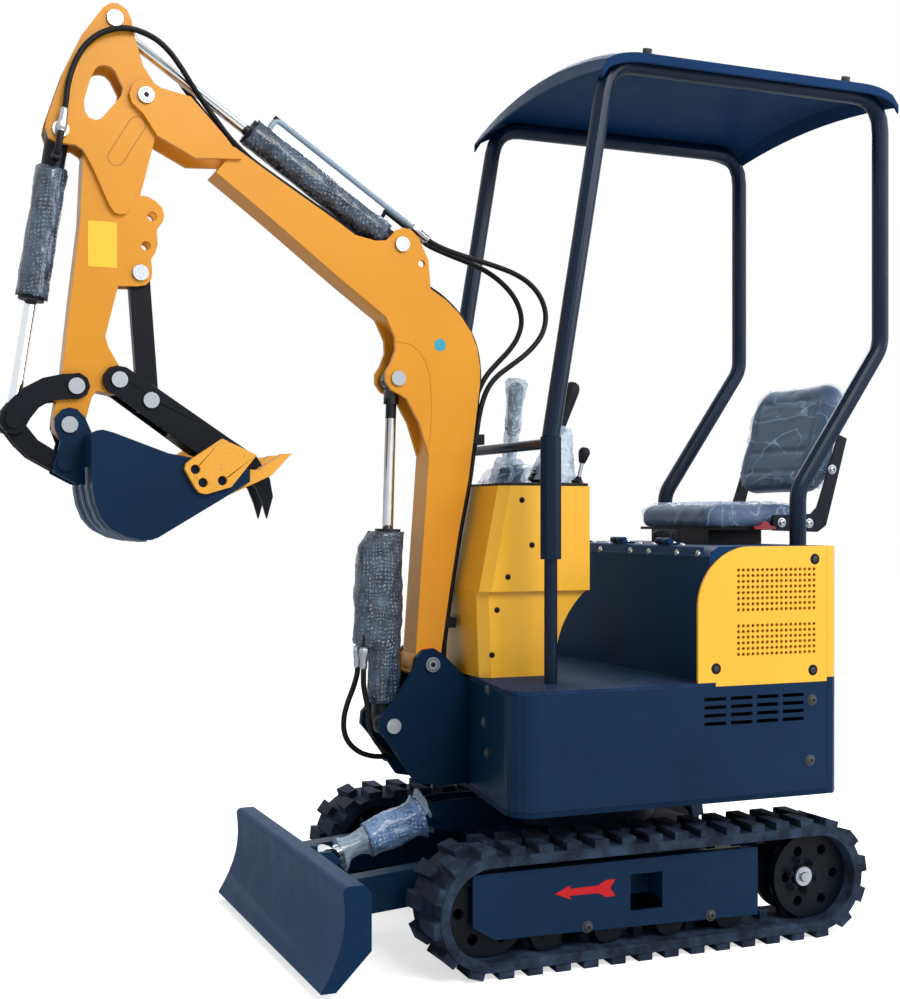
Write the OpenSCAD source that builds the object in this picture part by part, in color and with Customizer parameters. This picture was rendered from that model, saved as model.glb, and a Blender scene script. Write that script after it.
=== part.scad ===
// Mini excavator on rubber tracks: slewing house with canopy and seat, boom, arm,
// bucket with thumb, and a dozer blade.
// Millimetres. X forward, Y to the machine's left, Z up, origin on the ground under the slew axis.

/* [Tracks] */
// Overall width over the two tracks
machine_w = 950; // [930:5:990]
// Length of a track over its lugs
track_l = 1200; // [1160:10:1240]
// Height of a track over its lugs
track_h = 300; // [290:2:310]
// Width of one track
track_w = 180; // [170:2:190]
// Links round one track, each with a lug on both sides
link_count = 36; // [32:1:40]
// Height of a tread lug
lug_h = 18; // [12:1:22]

/* [House] */
// Height of the underside of the house
house_z = 364; // [358:1:380]
// Height of the skirt panels
skirt_h = 272; // [260:2:290]
// Width of the house
house_w = 956; // [940:4:980]
// Slew axis to the rear of the house
house_rear = 511; // [500:1:530]
// Slew axis to the front corners of the house
house_front = 406; // [396:1:420]
// Height of the engine hood's walls above the floor
hood_h = 332; // [320:2:350]

/* [Canopy] */
// Height of the canopy posts' bend above the ground
post_top = 2210; // [2170:10:2230]
// Diameter of the canopy posts
post_d = 44; // [38:1:50]
// Width of the roof
roof_w = 780; // [760:5:820]

/* [Boom] */
// Boom foot pin to boom tip pin, straight across
boom_l = 1550; // [1500:10:1600]
// Width of the boom's box section
boom_w = 92; // [88:2:96]

/* [Arm] */
// Arm pin to bucket pin, straight down the arm
arm_l = 800; // [780:5:820]
// Width of the arm's box section
arm_w = 64; // [60:1:68]

/* [Bucket] */
// Bucket pin to tooth tips
bucket_l = 510; // [490:5:520]
// Width of the bucket
bucket_w = 320; // [290:5:380]

/* [Blade] */
// Width of the blade
blade_w = 950; // [900:10:1000]

/* [Hidden] */
$fn = 48;
// Shared small values: overrun of cuts, running clearance of pins, slack between moving faces, seat gap
over = 1;
fit = 0.06;
slack = 2;
seat = 0.2;
// Plate and sheet thicknesses
heavy_t = 18;
plate_t = 12;
sheet_t = 12;
skin_t = 8;

// Pins and cylinders
pin_r = 14;
pin_head_r = 19;
pin_head_t = 8;
rod_r = 14;
barrel_r = 30;
gland_r = 33;
gland_l = 34;
eye_r = 30;

// Levels of the house: deck plate, skirts, floor, hood
deck_t = 12;
floor_t = 10;
skirt_z = house_z + deck_t;
floor_z = skirt_z + skirt_h;
hood_z = floor_z + floor_t;
hood_top = hood_z + hood_h;
half_w = house_w / 2;
// Boom foot ahead of the house's front corners and above its floor
foot_ahead = 38;
foot_up = 40;

// Side view places of the pins, as shares of the boom and arm lengths
foot = [house_front + foot_ahead, floor_z + foot_up];
boom_base_share = [0.068, -0.097];
boom_rod_share = [0.052, 0.469];
arm_base_share = [0.045, 0.689];
lift_hole_share = [0.010, 0.660];
tip_share = [0.465, 0.885];
arm_rod_share = [0.088, 0.221];
bucket_base_share = [0.244, -0.121];
rocker_share = [0.199, -0.865];
bucket_pin_share = [0.219, -0.978];
rod_end_share = [0.376, -0.968];
link_end_share = [0.230, -1.090];
thumb_pin_share = [0.075, -0.842];
strut_top_share = [0.010, -0.520];
strut_low_share = [-0.018, -0.900];
spare_hole_shares = [[-0.025, -0.349], [-0.007, -0.438]];

boom_base = foot + boom_l * boom_base_share;
boom_rod = foot + boom_l * boom_rod_share;
arm_base = foot + boom_l * arm_base_share;
lift_hole = foot + boom_l * lift_hole_share;
tip = foot + boom_l * tip_share;
arm_rod = tip + arm_l * arm_rod_share;
bucket_base = tip + arm_l * bucket_base_share;
rocker_pin = tip + arm_l * rocker_share;
bucket_pin = tip + arm_l * bucket_pin_share;
rod_end = tip + arm_l * rod_end_share;
link_end = tip + arm_l * link_end_share;
thumb_pin = tip + arm_l * thumb_pin_share;
strut_top = tip + arm_l * strut_top_share;
strut_low = tip + arm_l * strut_low_share;
spare_holes = [for (s = spare_hole_shares) tip + arm_l * s];

// Layers across the front gear, from the middle outwards
arm_y = arm_w / 2;
head_y = arm_y + plate_t;
boom_y = boom_w / 2;
cheek_y = max(boom_y, head_y + slack);
cheek_out = cheek_y + plate_t;
bracket_in = 60;
bracket_out = bracket_in + heavy_t;
ear_y = 33;
rod_eye_y = 28;
rod_mid_y = 14;
link_in = rod_mid_y + slack;
link_out = arm_y - slack;
rocker_in = arm_y + slack;
rocker_out = rocker_in + plate_t;

// Outlines in the side view
boom_shares = [[0.024, -0.016], [0.021, 0.010], [0.012, 0.139], [0.003, 0.260], [0.000, 0.303],
    [-0.004, 0.359],
    [-0.008, 0.430], [-0.006, 0.471], [0.003, 0.506], [0.022, 0.532], [0.054, 0.556], [0.078, 0.573],
    [0.152, 0.627], [0.268, 0.716], [0.362, 0.785], [0.330, 0.825], [0.268, 0.786], [0.152, 0.716],
    [0.075, 0.666], [-0.006, 0.619], [-0.034, 0.602], [-0.058, 0.580], [-0.079, 0.551], [-0.090, 0.525],
    [-0.095, 0.495], [-0.095, 0.465], [-0.087, 0.399], [-0.074, 0.304], [-0.057, 0.220], [-0.041, 0.126],
    [-0.025, 0.020], [-0.022, -0.010], [-0.010, -0.022], [0.010, -0.024]];
rod_ear_shares = [[-0.004, 0.340], [0.015, 0.399], [0.037, 0.437], [0.063, 0.450], [0.073, 0.464],
    [0.073, 0.480],
    [0.065, 0.492], [0.056, 0.515], [0.057, 0.536], [0.074, 0.572], [0.040, 0.560], [0.003, 0.506],
    [-0.008, 0.450]];
base_ear_shares = [[0.127, 0.699], [0.090, 0.692], [0.072, 0.694], [0.063, 0.703], [0.055, 0.712],
    [0.042, 0.717],
    [0.028, 0.714], [0.015, 0.702], [-0.002, 0.666], [-0.006, 0.619], [0.075, 0.660]];
cheek_shares = [[0.389, 0.797], [0.448, 0.826], [0.469, 0.857], [0.486, 0.872], [0.490, 0.886],
    [0.485, 0.900],
    [0.472, 0.909], [0.458, 0.908], [0.441, 0.899], [0.396, 0.891], [0.342, 0.835], [0.315, 0.802]];
head_shares = [[0.080, 0.268], [0.100, 0.266], [0.122, 0.250], [0.184, 0.161], [0.231, 0.061],
    [0.280, -0.086],
    [0.286, -0.117], [0.276, -0.148], [0.250, -0.160], [0.201, -0.161], [0.179, -0.174], [0.149, -0.229],
    [0.104, -0.329], [0.088, -0.350], [0.072, -0.354], [0.055, -0.350], [0.041, -0.332], [0.026, -0.290],
    [0.001, -0.247], [-0.031, -0.117], [-0.045, -0.020], [-0.043, 0.020], [-0.030, 0.042], [0.005, 0.092],
    [0.029, 0.176], [0.040, 0.226], [0.052, 0.252]];
window_shares = [[0.117, 0.081], [0.100, 0.078], [0.086, 0.065], [0.064, 0.022], [0.068, -0.002],
    [0.113, -0.060],
    [0.128, -0.078], [0.144, -0.083], [0.162, -0.078], [0.174, -0.062], [0.177, -0.030], [0.161, 0.029],
    [0.144, 0.068], [0.132, 0.078]];
box_shares = [[0.170, -0.130], [0.178, -0.200], [0.186, -0.380], [0.212, -0.596], [0.236, -0.821],
    [0.254, -0.911],
    [0.262, -0.960], [0.258, -0.996], [0.238, -1.018], [0.210, -1.022], [0.186, -1.008], [0.176, -0.985],
    [0.152, -0.894], [0.138, -0.876], [0.092, -0.884], [0.060, -0.880], [0.044, -0.862], [0.042, -0.838],
    [0.052, -0.818], [0.075, -0.796], [0.104, -0.745], [0.113, -0.713], [0.075, -0.561], [0.025, -0.349],
    [-0.001, -0.244], [-0.028, -0.125]];
comb_shares = [[0.040, -0.346], [0.028, -0.290], [-0.010, -0.290], [-0.035, -0.302], [-0.055, -0.320],
    [-0.062, -0.345], [-0.055, -0.366], [-0.039, -0.388], [-0.042, -0.432], [-0.036, -0.454],
    [-0.022, -0.478],
    [-0.026, -0.516], [-0.022, -0.538], [-0.008, -0.554], [0.018, -0.560], [0.082, -0.562]];
thumb_shares = [[-0.115, 0.172], [-0.138, 0.178], [-0.165, 0.174], [-0.260, 0.113], [-0.470, -0.026],
    [-0.560, -0.084], [-0.601, -0.150], [-0.611, -0.205], [-0.592, -0.275], [-0.577, -0.225],
    [-0.558, -0.180],
    [-0.520, -0.150], [-0.370, -0.075], [-0.135, 0.092], [-0.112, 0.100], [-0.097, 0.125], [-0.098, 0.150]];
tine_from_share = -0.470;
thumb_web_share = -0.300;
rocker_shares = [[-0.006, 0.149], [-0.030, 0.152], [-0.052, 0.138], [-0.060, 0.113], [-0.050, 0.088],
    [-0.029, 0.076], [0.010, 0.074], [0.052, 0.068], [0.085, 0.048], [0.110, 0.015], [0.130, -0.022],
    [0.154, -0.032], [0.182, -0.022], [0.198, 0.005], [0.190, 0.034], [0.165, 0.068], [0.128, 0.104],
    [0.074, 0.134], [0.020, 0.147]];
link_shares = [[0.122, 0.000], [0.087, -0.045], [0.040, -0.074], [0.012, -0.080], [-0.012, -0.092],
    [-0.021, -0.112], [-0.012, -0.136], [0.010, -0.148], [0.050, -0.131], [0.115, -0.095], [0.152, -0.058],
    [0.182, -0.018], [0.190, 0.010], [0.174, 0.036], [0.146, 0.038], [0.128, 0.022]];
ear_shares = [[0.020, 0.044], [0.000, 0.050], [-0.022, 0.046], [-0.045, 0.022], [-0.066, -0.026],
    [-0.086, -0.115],
    [-0.074, -0.176], [-0.018, -0.172], [0.020, -0.152], [0.042, -0.140], [0.048, -0.118], [0.036, -0.090],
    [0.026, -0.050], [0.042, -0.006], [0.040, 0.022]];
bucket_shares = [[-0.064, -0.052], [-0.090, -0.036], [-0.116, -0.032], [-0.165, -0.045], [-0.406, -0.132],
    [-0.786, -0.200], [-0.786, -0.258], [-0.657, -0.338], [-0.361, -0.515], [-0.330, -0.526],
    [-0.290, -0.526],
    [-0.216, -0.510], [-0.150, -0.476], [-0.110, -0.430], [-0.082, -0.360], [-0.070, -0.290],
    [-0.066, -0.200]];
mouth_from = 3;
mouth_to = 5;
lip_from = 6;
cutter_shares = [[-0.649, -0.063], [-0.812, -0.135], [-0.690, -0.285], [-0.575, -0.318], [-0.545, -0.312],
    [-0.525, -0.290], [-0.475, -0.205], [-0.480, -0.180], [-0.508, -0.157]];
cutter_hole_shares = [[-0.525, -0.205], [-0.560, -0.265], [-0.650, -0.255]];
tooth_shares = [[-0.900, -0.227], [-1.000, -0.121], [-0.957, -0.124], [-0.835, -0.202]];
bracket_shares = [[0.032, -0.008], [0.028, 0.012], [0.014, 0.024], [-0.004, 0.026], [-0.020, 0.016],
    [-0.064, -0.027], [-0.140, -0.026], [-0.140, -0.196], [-0.016, -0.200], [0.028, -0.192], [0.076, -0.123],
    [0.092, -0.104], [0.090, -0.084], [0.078, -0.070], [0.060, -0.050]];

// Helpers
function at(origin, size, shares) = [for (s = shares) origin + size * s];
function aim(a, b) = atan2(b.x - a.x, b.y - a.y);

// A plate in the side view: outline or children, from y0 to y1
module side(y0, y1) {
    translate([0, y1, 0])
    rotate([90, 0, 0])
    linear_extrude(y1 - y0)
    children();
}
// The same plate on both sides of the middle
module both(y0, y1) {
    for (s = [-1, 1])
    side(s > 0 ? y0 : -y1, s > 0 ? y1 : -y0)
    children();
}
module spot(p, r) {
    translate(p)
    circle(r);
}
// A round bar across the machine
module bar(p, r, y0, y1) {
    translate([p.x, y1, p.y])
    rotate([90, 0, 0])
    cylinder(r = r, h = y1 - y0);
}
module block(x, y, z) {
    translate([x[0], y[0], z[0]])
    cube([x[1] - x[0], y[1] - y[0], z[1] - z[0]]);
}
module at_both_sides() {
    children();
    mirror([0, 1, 0])
    children();
}

// Tracks
track_y = machine_w / 2 - track_w / 2;
wheel_r = track_h / 2;
band_t = 24;
band_r = wheel_r - lug_h;
band_in = band_r - band_t;
wheel_x = track_l / 2 - wheel_r;
guide_h = 24;
guide_w = 34;
guide_l = 24;
tread_end_share = 0.54;
tread_waist_share = 0.36;
tread_wide_share = 0.50;
tread_edge = 3;
phase_share = 0.47;
stagger_share = 0.50;
guide_phase_share = 0.72;
sink = 8;
run_l = 2 * wheel_x;
turn_l = PI * band_r;
loop_l = 2 * run_l + 2 * turn_l;
pitch = loop_l / link_count;
// Place and turn at a length s along the band's outside, from the front of the lower run, under and up behind
function on_loop(s) =
    s < run_l ? [wheel_x - s, wheel_r - band_r, 180]
    : s < run_l + turn_l ? let (a = (s - run_l) / turn_l * 180)
        [-wheel_x - band_r * sin(a), wheel_r - band_r * cos(a), 180 + a]
    : s < 2 * run_l + turn_l ? [-wheel_x + (s - run_l - turn_l), wheel_r + band_r, 0]
    : let (a = (s - 2 * run_l - turn_l) / turn_l * 180)
        [wheel_x + band_r * sin(a), wheel_r + band_r * cos(a), a];
module loop_shape(r) {
    for (s = [-1, 1])
    spot([s * wheel_x, wheel_r], r);
    translate([-wheel_x, wheel_r - r])
    square([run_l, 2 * r]);
}
// A lug from the middle of the band to its edge, where it is longest
module tread_lug() {
    end_l = pitch * tread_end_share / 2;
    waist_l = pitch * tread_waist_share / 2;
    wide = track_w * tread_wide_share;
    translate([0, -tread_edge, -sink])
    linear_extrude(lug_h + sink)
    polygon([[-waist_l, 0], [waist_l, 0], [end_l, wide], [-end_l, wide]]);
}
module on_band(links) {
    p = on_loop(links * pitch);
    translate([p[0], 0, p[1]])
    rotate([0, p[2], 0])
    children();
}
module track() {
    side(-track_w / 2, track_w / 2)
    difference() {
        loop_shape(band_r);
        loop_shape(band_in);
    }
    for (i = [0 : link_count - 1]) {
        on_band(i + phase_share)
        tread_lug();
        on_band(i + phase_share + stagger_share)
        mirror([0, 1, 0])
        tread_lug();
        on_band(i + guide_phase_share)
        translate([-guide_l / 2, -guide_w / 2, -band_t - guide_h])
        cube([guide_l, guide_w, guide_h + sink]);
    }
}
module track_left() {
    color("#17181a")
    translate([0, track_y, 0])
    track();
}
module track_right() {
    color("#17181a")
    translate([0, -track_y, 0])
    track();
}

// Track frames: an inner plate, a beam and an outer plate on each side
frame_out = 70;
frame_in = 62;
guard_t = 10;
guard_x_shares = [-0.233, 0.412];
guard_top_share = 0.805;
guard_shares = [[guard_x_shares[0], 0.24], [0.366, 0.29], [guard_x_shares[1], 0.40],
    [guard_x_shares[1], guard_top_share], [guard_x_shares[0], guard_top_share]];
guard_flange = 18;
inner_shares = [[-0.36, 0.36], [-0.22, 0.24], [0.30, 0.24], [0.393, 0.40], [0.393, 0.74], [-0.36, 0.74]];
beam_x_shares = [-0.233, 0.245];
beam_z_shares = [0.46, 0.76];
hole_x_share = 0.032;
hole_z_share = 0.537;
hole_size = 88;
hole_depth = 60;
axle_r = 12;
function scaled(shares) = [for (s = shares) [s.x * track_l, s.y * track_h]];
module track_frame() {
    side(frame_out - guard_t, frame_out)
    difference() {
        polygon(scaled(guard_shares));
        translate([hole_x_share * track_l - hole_size / 2, hole_z_share * track_h - hole_size / 2])
        square(hole_size);
    }
    // folded top edge and rear end of the outer plate
    block(guard_x_shares * track_l, [frame_out - guard_flange, frame_out - over],
        [guard_top_share * track_h - guard_t, guard_top_share * track_h]);
    block([guard_x_shares[0] * track_l, guard_x_shares[0] * track_l + guard_t],
        [frame_out - guard_flange, frame_out - over],
        [beam_z_shares[0] * track_h, guard_top_share * track_h]);
    side(-frame_in - guard_t, -frame_in)
    polygon(scaled(inner_shares));
    difference() {
        block(beam_x_shares * track_l, [-frame_in, frame_out - guard_t], beam_z_shares * track_h);
        translate([hole_x_share * track_l - hole_size / 2, frame_out - guard_t - hole_depth,
            hole_z_share * track_h - hole_size / 2])
        cube([hole_size, hole_depth + over, hole_size]);
    }
}
module track_frames() {
    color("#24344a")
    at_both_sides()
    translate([0, track_y, 0])
    track_frame();
}

// Drive wheel and idler of each track, the drive motor inside the drive wheel
disc_r = band_in - seat;
disc_t = 26;
guide_gap = 6;
hub_gap = 4;
disc_y = guide_w / 2 + guide_gap;
hub_r = band_in - guide_h - hub_gap;
spoke_r = 13;
spoke_ring = 72;
spoke_count = 6;
cap_r = 30;
motor_r = 62;
motor_l = 84;
module track_wheel(outer) {
    difference() {
        union() {
            for (s = [-1, 1])
            bar([0, 0], disc_r, s > 0 ? disc_y : -disc_y - disc_t, s > 0 ? disc_y + disc_t : -disc_y);
            bar([0, 0], hub_r, -disc_y - over, disc_y + over);
            bar([0, 0], cap_r, -frame_in + seat, outer);
        }
        for (a = [0 : 360 / spoke_count : 359])
        bar(spoke_ring * [cos(a), sin(a)], spoke_r, -frame_out, frame_out);
    }
}
module track_wheels() {
    color("#1d2733")
    at_both_sides()
    translate([0, track_y, wheel_r]) {
        translate([wheel_x, 0, 0])
        track_wheel(frame_out - guard_t - seat);
        translate([-wheel_x, 0, 0])
        track_wheel(frame_out - guard_t);
        bar([-wheel_x, 0], motor_r, -frame_in - guard_t - motor_l, -frame_in - guard_t - seat);
    }
}

// Lower rollers on each side
roller_r = 40;
roller_w = 30;
roller_x_shares = [-0.17, -0.03, 0.11, 0.25];
roller_z = wheel_r - band_in + roller_r + seat;
module roller(r, y_in, y_out) {
    for (s = [-1, 1])
    bar([0, 0], r, s > 0 ? disc_y : -disc_y - roller_w, s > 0 ? disc_y + roller_w : -disc_y);
    bar([0, 0], axle_r, y_in, y_out);
}
module rollers() {
    color("#1d2733")
    at_both_sides()
    translate([0, track_y, 0]) {
        for (x = roller_x_shares)
        translate([x * track_l, 0, roller_z])
        roller(roller_r, -frame_in + seat, frame_out - guard_t - seat);
    }
}

// Car body between the tracks: middle box, cross legs, pedestal, blade lugs
body_x = 250;
body_gap = 71;
body_z = [120, 268];
leg_x = [-230, 210];
leg_w = 110;
leg_z = [140, 215];
frame_inner_y = track_y - frame_in - guard_t;
body_y = frame_inner_y - body_gap;
ring_r = 215;
ring_in = 150;
slew_gap = 0.4;
ring_z = [320, house_z - slew_gap];
blade_pivot = [395, 178];
blade_arm_in = 47;
blade_arm_y = body_y - blade_arm_in;
blade_arm_t = 50;
lug_t = 16;
lug_shares = [[-0.50, -0.15], [-0.04, -0.15], [0.10, -0.08], [0.10, 0.06], [-0.04, 0.13], [-0.50, 0.22]];
lug_size = 350;
blade_pin_y = [blade_arm_y - blade_arm_t / 2 - slack - lug_t, blade_arm_y + blade_arm_t / 2 + slack + lug_t];
blade_base = [420, 296];
blade_lug_y = 36;
blade_lug_shares = [[-0.56, -0.12], [-0.06, -0.12], [0.06, -0.07], [0.09, 0.00], [0.05, 0.09], [-0.10, 0.11],
    [-0.56, 0.11]];
module car_body() {
    color("#1b2637")
    union() {
        block([-body_x, body_x], [-body_y, body_y], body_z);
        for (x = leg_x)
        block([x - leg_w / 2, x + leg_w / 2], [-frame_inner_y + seat, frame_inner_y - seat], leg_z);
        translate([0, 0, body_z[1] - over])
        cylinder(r = ring_r, h = ring_z[0] - body_z[1] + over);
        for (y = [blade_arm_y + blade_arm_t / 2 + slack, blade_arm_y - blade_arm_t / 2 - slack - lug_t])
        both(y, y + lug_t)
        polygon(at(blade_pivot, lug_size, lug_shares));
        at_both_sides()
        bar(blade_pivot, pin_r, blade_pin_y[0], blade_pin_y[1]);
        both(blade_lug_y, blade_lug_y + lug_t)
        polygon(at(blade_base, lug_size, blade_lug_shares));
        bar(blade_base, pin_r, -blade_lug_y - lug_t - pin_head_t, blade_lug_y + lug_t + pin_head_t);
    }
}
module slew_ring() {
    color("#1b2637")
    translate([0, 0, ring_z[0]])
    difference() {
        cylinder(r = ring_r, h = ring_z[1] - ring_z[0]);
        translate([0, 0, -over])
        cylinder(r = ring_in, h = ring_z[1] - ring_z[0] + 2 * over);
    }
}

// Deck: the house's bottom plate with the spigot that turns in the slew ring
front_mid_share = 0.84;
corner = 22;
rear_t = 40;
spigot_l = 30;
hood_x = -130;
hood_rear = -house_rear + rear_t;
floor_rear = hood_x - sheet_t;
front_r = 60;
arc_steps = 6;
front_mid = [house_front * front_mid_share, bracket_out];
facet_turn = atan2(house_front - front_mid.x, half_w - front_mid.y);
front_side = half_w - front_r;
front_centre = [front_mid.x + (sin(facet_turn) * (front_side - front_mid.y) - front_r) / cos(facet_turn),
    front_side];
function arc(centre, r, from, to) = [for (i = [0 : arc_steps]) let (a = from + (to - from) * i / arc_steps)
    centre + r * [cos(a), sin(a)]];
// Left half of the plan from the boom bracket round the front corner to the rear; the right half mirrors it
plan_left = concat([front_mid], arc(front_centre, front_r, -facet_turn, 90),
    [[-house_rear + rear_t, half_w]]);
plan = concat(plan_left, [for (i = [len(plan_left) - 1 : -1 : 0]) [plan_left[i].x, -plan_left[i].y]]);
module deck() {
    color("#1b2637")
    union() {
        translate([0, 0, house_z])
        linear_extrude(deck_t)
        polygon(plan);
        translate([0, 0, house_z - spigot_l])
        cylinder(r = ring_in - fit, h = spigot_l + over);
    }
}
engine_x = [-440, -190];
engine_y = 190;
engine_h = 470;
module floor_plate() {
    color("#22272c")
    translate([0, 0, floor_z])
    linear_extrude(floor_t)
    intersection() {
        polygon(plan);
        translate([floor_rear, -half_w])
        square([house_front - floor_rear, house_w]);
    }
}
module engine() {
    color("#50555a")
    block(engine_x, [-engine_y, engine_y], [skirt_z, skirt_z + engine_h]);
}

// Skirt panels with slot vents
slot_rows = 4;
slot_columns = 4;
slot_l = 62;
slot_h = 9;
slot_step = 76;
slot_rise = 20;
slot_x = -400;
slot_drop = 95;
module skirts() {
    color("#22324a")
    difference() {
        translate([0, 0, skirt_z])
        linear_extrude(skirt_h)
        difference() {
            polygon(plan);
            offset(delta = -sheet_t)
            polygon(plan);
            translate([-house_rear, -half_w + sheet_t])
            square([house_rear, house_w - 2 * sheet_t]);
            translate([-house_rear, -bracket_out - slack])
            square([house_rear + house_front, 2 * bracket_out + 2 * slack]);
        }
        for (i = [0 : slot_columns - 1], j = [0 : slot_rows - 1], s = [-1, 1])
        translate([slot_x + i * slot_step, s * half_w - sheet_t - over, floor_z - slot_drop + j * slot_rise])
        cube([slot_l, 2 * sheet_t + 2 * over, slot_h]);
    }
}
module counterweight() {
    color("#22324a")
    translate([0, 0, house_z])
    linear_extrude(floor_z + floor_t - house_z)
    polygon([[-house_rear + corner, -half_w], [-house_rear + rear_t - seat, -half_w],
        [-house_rear + rear_t - seat, half_w], [-house_rear + corner, half_w], [-house_rear, half_w - corner],
        [-house_rear, -half_w + corner]]);
}

// Boom bracket: two side plates, a front web and a foot between deck and floor
web_x = 330;
fitting_r = 8;
port_out = 10;
// Hose fittings on the web, across and up
web_ports = [[-27, 580], [-9, 580], [9, 580], [27, 580], [-24, 450], [24, 450]];
module boom_bracket() {
    color("#1d2b40")
    difference() {
        union() {
            both(bracket_in, bracket_out)
            intersection() {
                polygon(at(foot, boom_l, bracket_shares));
                translate([0, skirt_z])
                square([track_l, floor_z + track_h]);
            }
            block([web_x - plate_t, web_x], [-bracket_in - over, bracket_in + over], [skirt_z, floor_z]);
            for (p = web_ports)
            translate([web_x - over, p.x, p.y])
            rotate([0, 90, 0])
            cylinder(r = fitting_r, h = port_out + over);
        }
        for (p = [foot, boom_base])
        bar(p, pin_r + fit, -machine_w, machine_w);
    }
}
module house_pins() {
    color("#b9bdc2")
    for (p = [foot, boom_base]) {
        bar(p, pin_r, -bracket_out - pin_head_t, bracket_out + pin_head_t);
        both(bracket_out + seat, bracket_out + seat + pin_head_t)
        spot(p, pin_head_r);
    }
}

// Engine hood: front wall, side walls and top strips; yellow side panels and rear cover
hood_y = half_w - skin_t;
strip_in = 300;
strip_t = 12;
chamfer = 34;
chamfer_turn = 45;
vent_x = [-440, -190];
vent_z_shares = [0.14, 0.90];
panel_front = -92;
panel_arc = 150;
perf_r = 4.5;
perf_step = 14;
perf_x = [-432, -196];
perf_rows = [6, 8];
perf_z_shares = [0.20, 0.53];
perf_corner = 118;
// Seat hinge along the hood's front edge: its knuckles in turn on the hood and on the seat deck
hinge_r = 8;
hinge_drop = 3;
hinge_w = 34;
hinge_ys = [-240, 0, 240];
hinge_gap = 0.4;
leaf_t = 5;
leaf_l = 52;
leaf_drop = 60;
hinge = [hood_x - hinge_r, hood_top + hinge_r + hinge_drop];
module hood_wall() {
    block([hood_rear + seat, floor_rear - seat], [hood_y - sheet_t, hood_y - seat],
        [floor_z + seat, hood_top]);
    block([hood_rear + seat, hood_x], [hood_y - sheet_t, hood_y - seat], [hood_z + seat, hood_top]);
    block([hood_rear + seat, hood_x], [strip_in, hood_y - seat], [hood_top - strip_t, hood_top]);
}
module hood() {
    color("#1d2b40")
    union() {
        difference() {
            union() {
                at_both_sides()
                hood_wall();
                block([floor_rear, hood_x], [-hood_y + seat, hood_y - seat], [hood_z + seat, hood_top]);
            }
            for (s = [-1, 1])
            block(vent_x, [s * hood_y - 2 * sheet_t, s * hood_y + 2 * sheet_t],
                [for (v = vent_z_shares) hood_z + hood_h * v]);
            translate([hood_x, 0, hood_top])
            rotate([0, chamfer_turn, 0])
            cube([chamfer, 2 * half_w, chamfer], center = true);
        }
        for (y = hinge_ys) {
            bar(hinge, hinge_r, y + hinge_gap, y + hinge_w);
            block([hinge.x - leaf_t / 2, hinge.x + leaf_t / 2], [y + hinge_gap, y + hinge_w],
                [hood_top - leaf_drop, hinge.y]);
        }
    }
}
module side_panel() {
    side(half_w - skin_t, half_w)
    difference() {
        union() {
            translate([hood_rear + seat, hood_z + seat])
            square([panel_front - hood_rear - seat - panel_arc, hood_h - seat]);
            translate([hood_rear + seat, hood_z + seat])
            square([panel_front - hood_rear - seat, hood_h - panel_arc]);
            translate([hood_rear + seat, floor_z + seat])
            square([floor_rear - hood_rear - 2 * seat, hood_h - panel_arc]);
            spot([panel_front - panel_arc, hood_top - panel_arc], panel_arc);
        }
        for (k = [0, 1], j = [0 : perf_rows[k] - 1], x = [perf_x[0] : perf_step : perf_x[1]])
        let (z = hood_z + hood_h * perf_z_shares[k] + j * perf_step)
        if (x < panel_front - panel_arc || z < hood_top - panel_arc
            || norm([x - panel_front + panel_arc, z - hood_top + panel_arc]) < perf_corner)
        translate([x, z])
        circle(perf_r, $fn = 6);
    }
}
module side_panels() {
    color("#f2b234")
    at_both_sides()
    side_panel();
}
module rear_cover() {
    color("#f2b234")
    translate([0, 0, hood_z + seat])
    linear_extrude(hood_h - seat)
    polygon([[-house_rear + corner, -half_w], [hood_rear - seat, -half_w], [hood_rear - seat, half_w],
        [-house_rear + corner, half_w], [-house_rear, half_w - corner], [-house_rear, -half_w + corner]]);
}

// Seat deck, hinged along the hood's front edge
deck_edge = hood_x - sheet_t - slack;
cap_at = [-232, 96];
filler_r = 34;
filler_h = 36;
module seat_deck() {
    color("#1d2b40")
    union() {
        block([hood_rear + slack, deck_edge], [-strip_in + slack, strip_in - slack],
            [hood_top - strip_t, hood_top]);
        for (y = hinge_ys) {
            bar(hinge, hinge_r, y - hinge_w, y);
            block([hinge.x - leaf_l, hinge.x], [y - hinge_w, y], [hood_top - over, hood_top + leaf_t]);
        }
        translate([cap_at.x, cap_at.y, hood_top - over])
        cylinder(r = filler_r, h = filler_h);
    }
}

// Seat on its frame
cushion_x = [-630, -290];
cushion_y = 205;
cushion_up = 46;
cushion_t = 68;
cushion_z = [hood_top + cushion_up, hood_top + cushion_up + cushion_t];
back_t = 62;
back_h = 335;
back_lean = 16;
back_gap = 26;
back_in = 8;
back_foot = [cushion_x[0] + back_in, cushion_z[1] + back_gap];
bracket_t = 8;
riser_x = [-500, -330];
riser_y = 150;
seat_arm_shares = [[0.265, -0.082], [-0.588, -0.106], [-0.753, 0.000], [-0.824, 0.235], [-1.165, 1.412],
    [-1.012, 1.471], [-0.588, 0.294], [-0.471, 0.188], [0.265, 0.165]];
seat_arm_l = 170;
seat_arm_x = -540;
seat_arm_up = 50;
seat_arm_at = [seat_arm_x, hood_top + seat_arm_up];
module seat_frame() {
    color("#15191e")
    union() {
        block(riser_x, [-riser_y, riser_y], [hood_top + seat, cushion_z[0] - seat]);
        both(cushion_y + seat, cushion_y + bracket_t)
        polygon(at(seat_arm_at, seat_arm_l, seat_arm_shares));
        block([riser_x[0] - riser_y, riser_x[1]], [-cushion_y - bracket_t, cushion_y + bracket_t],
            [cushion_z[0] - bracket_t, cushion_z[0] - seat]);
    }
}
module seat_cushion() {
    color("#16181c")
    block(cushion_x, [-cushion_y, cushion_y], cushion_z);
}
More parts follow.
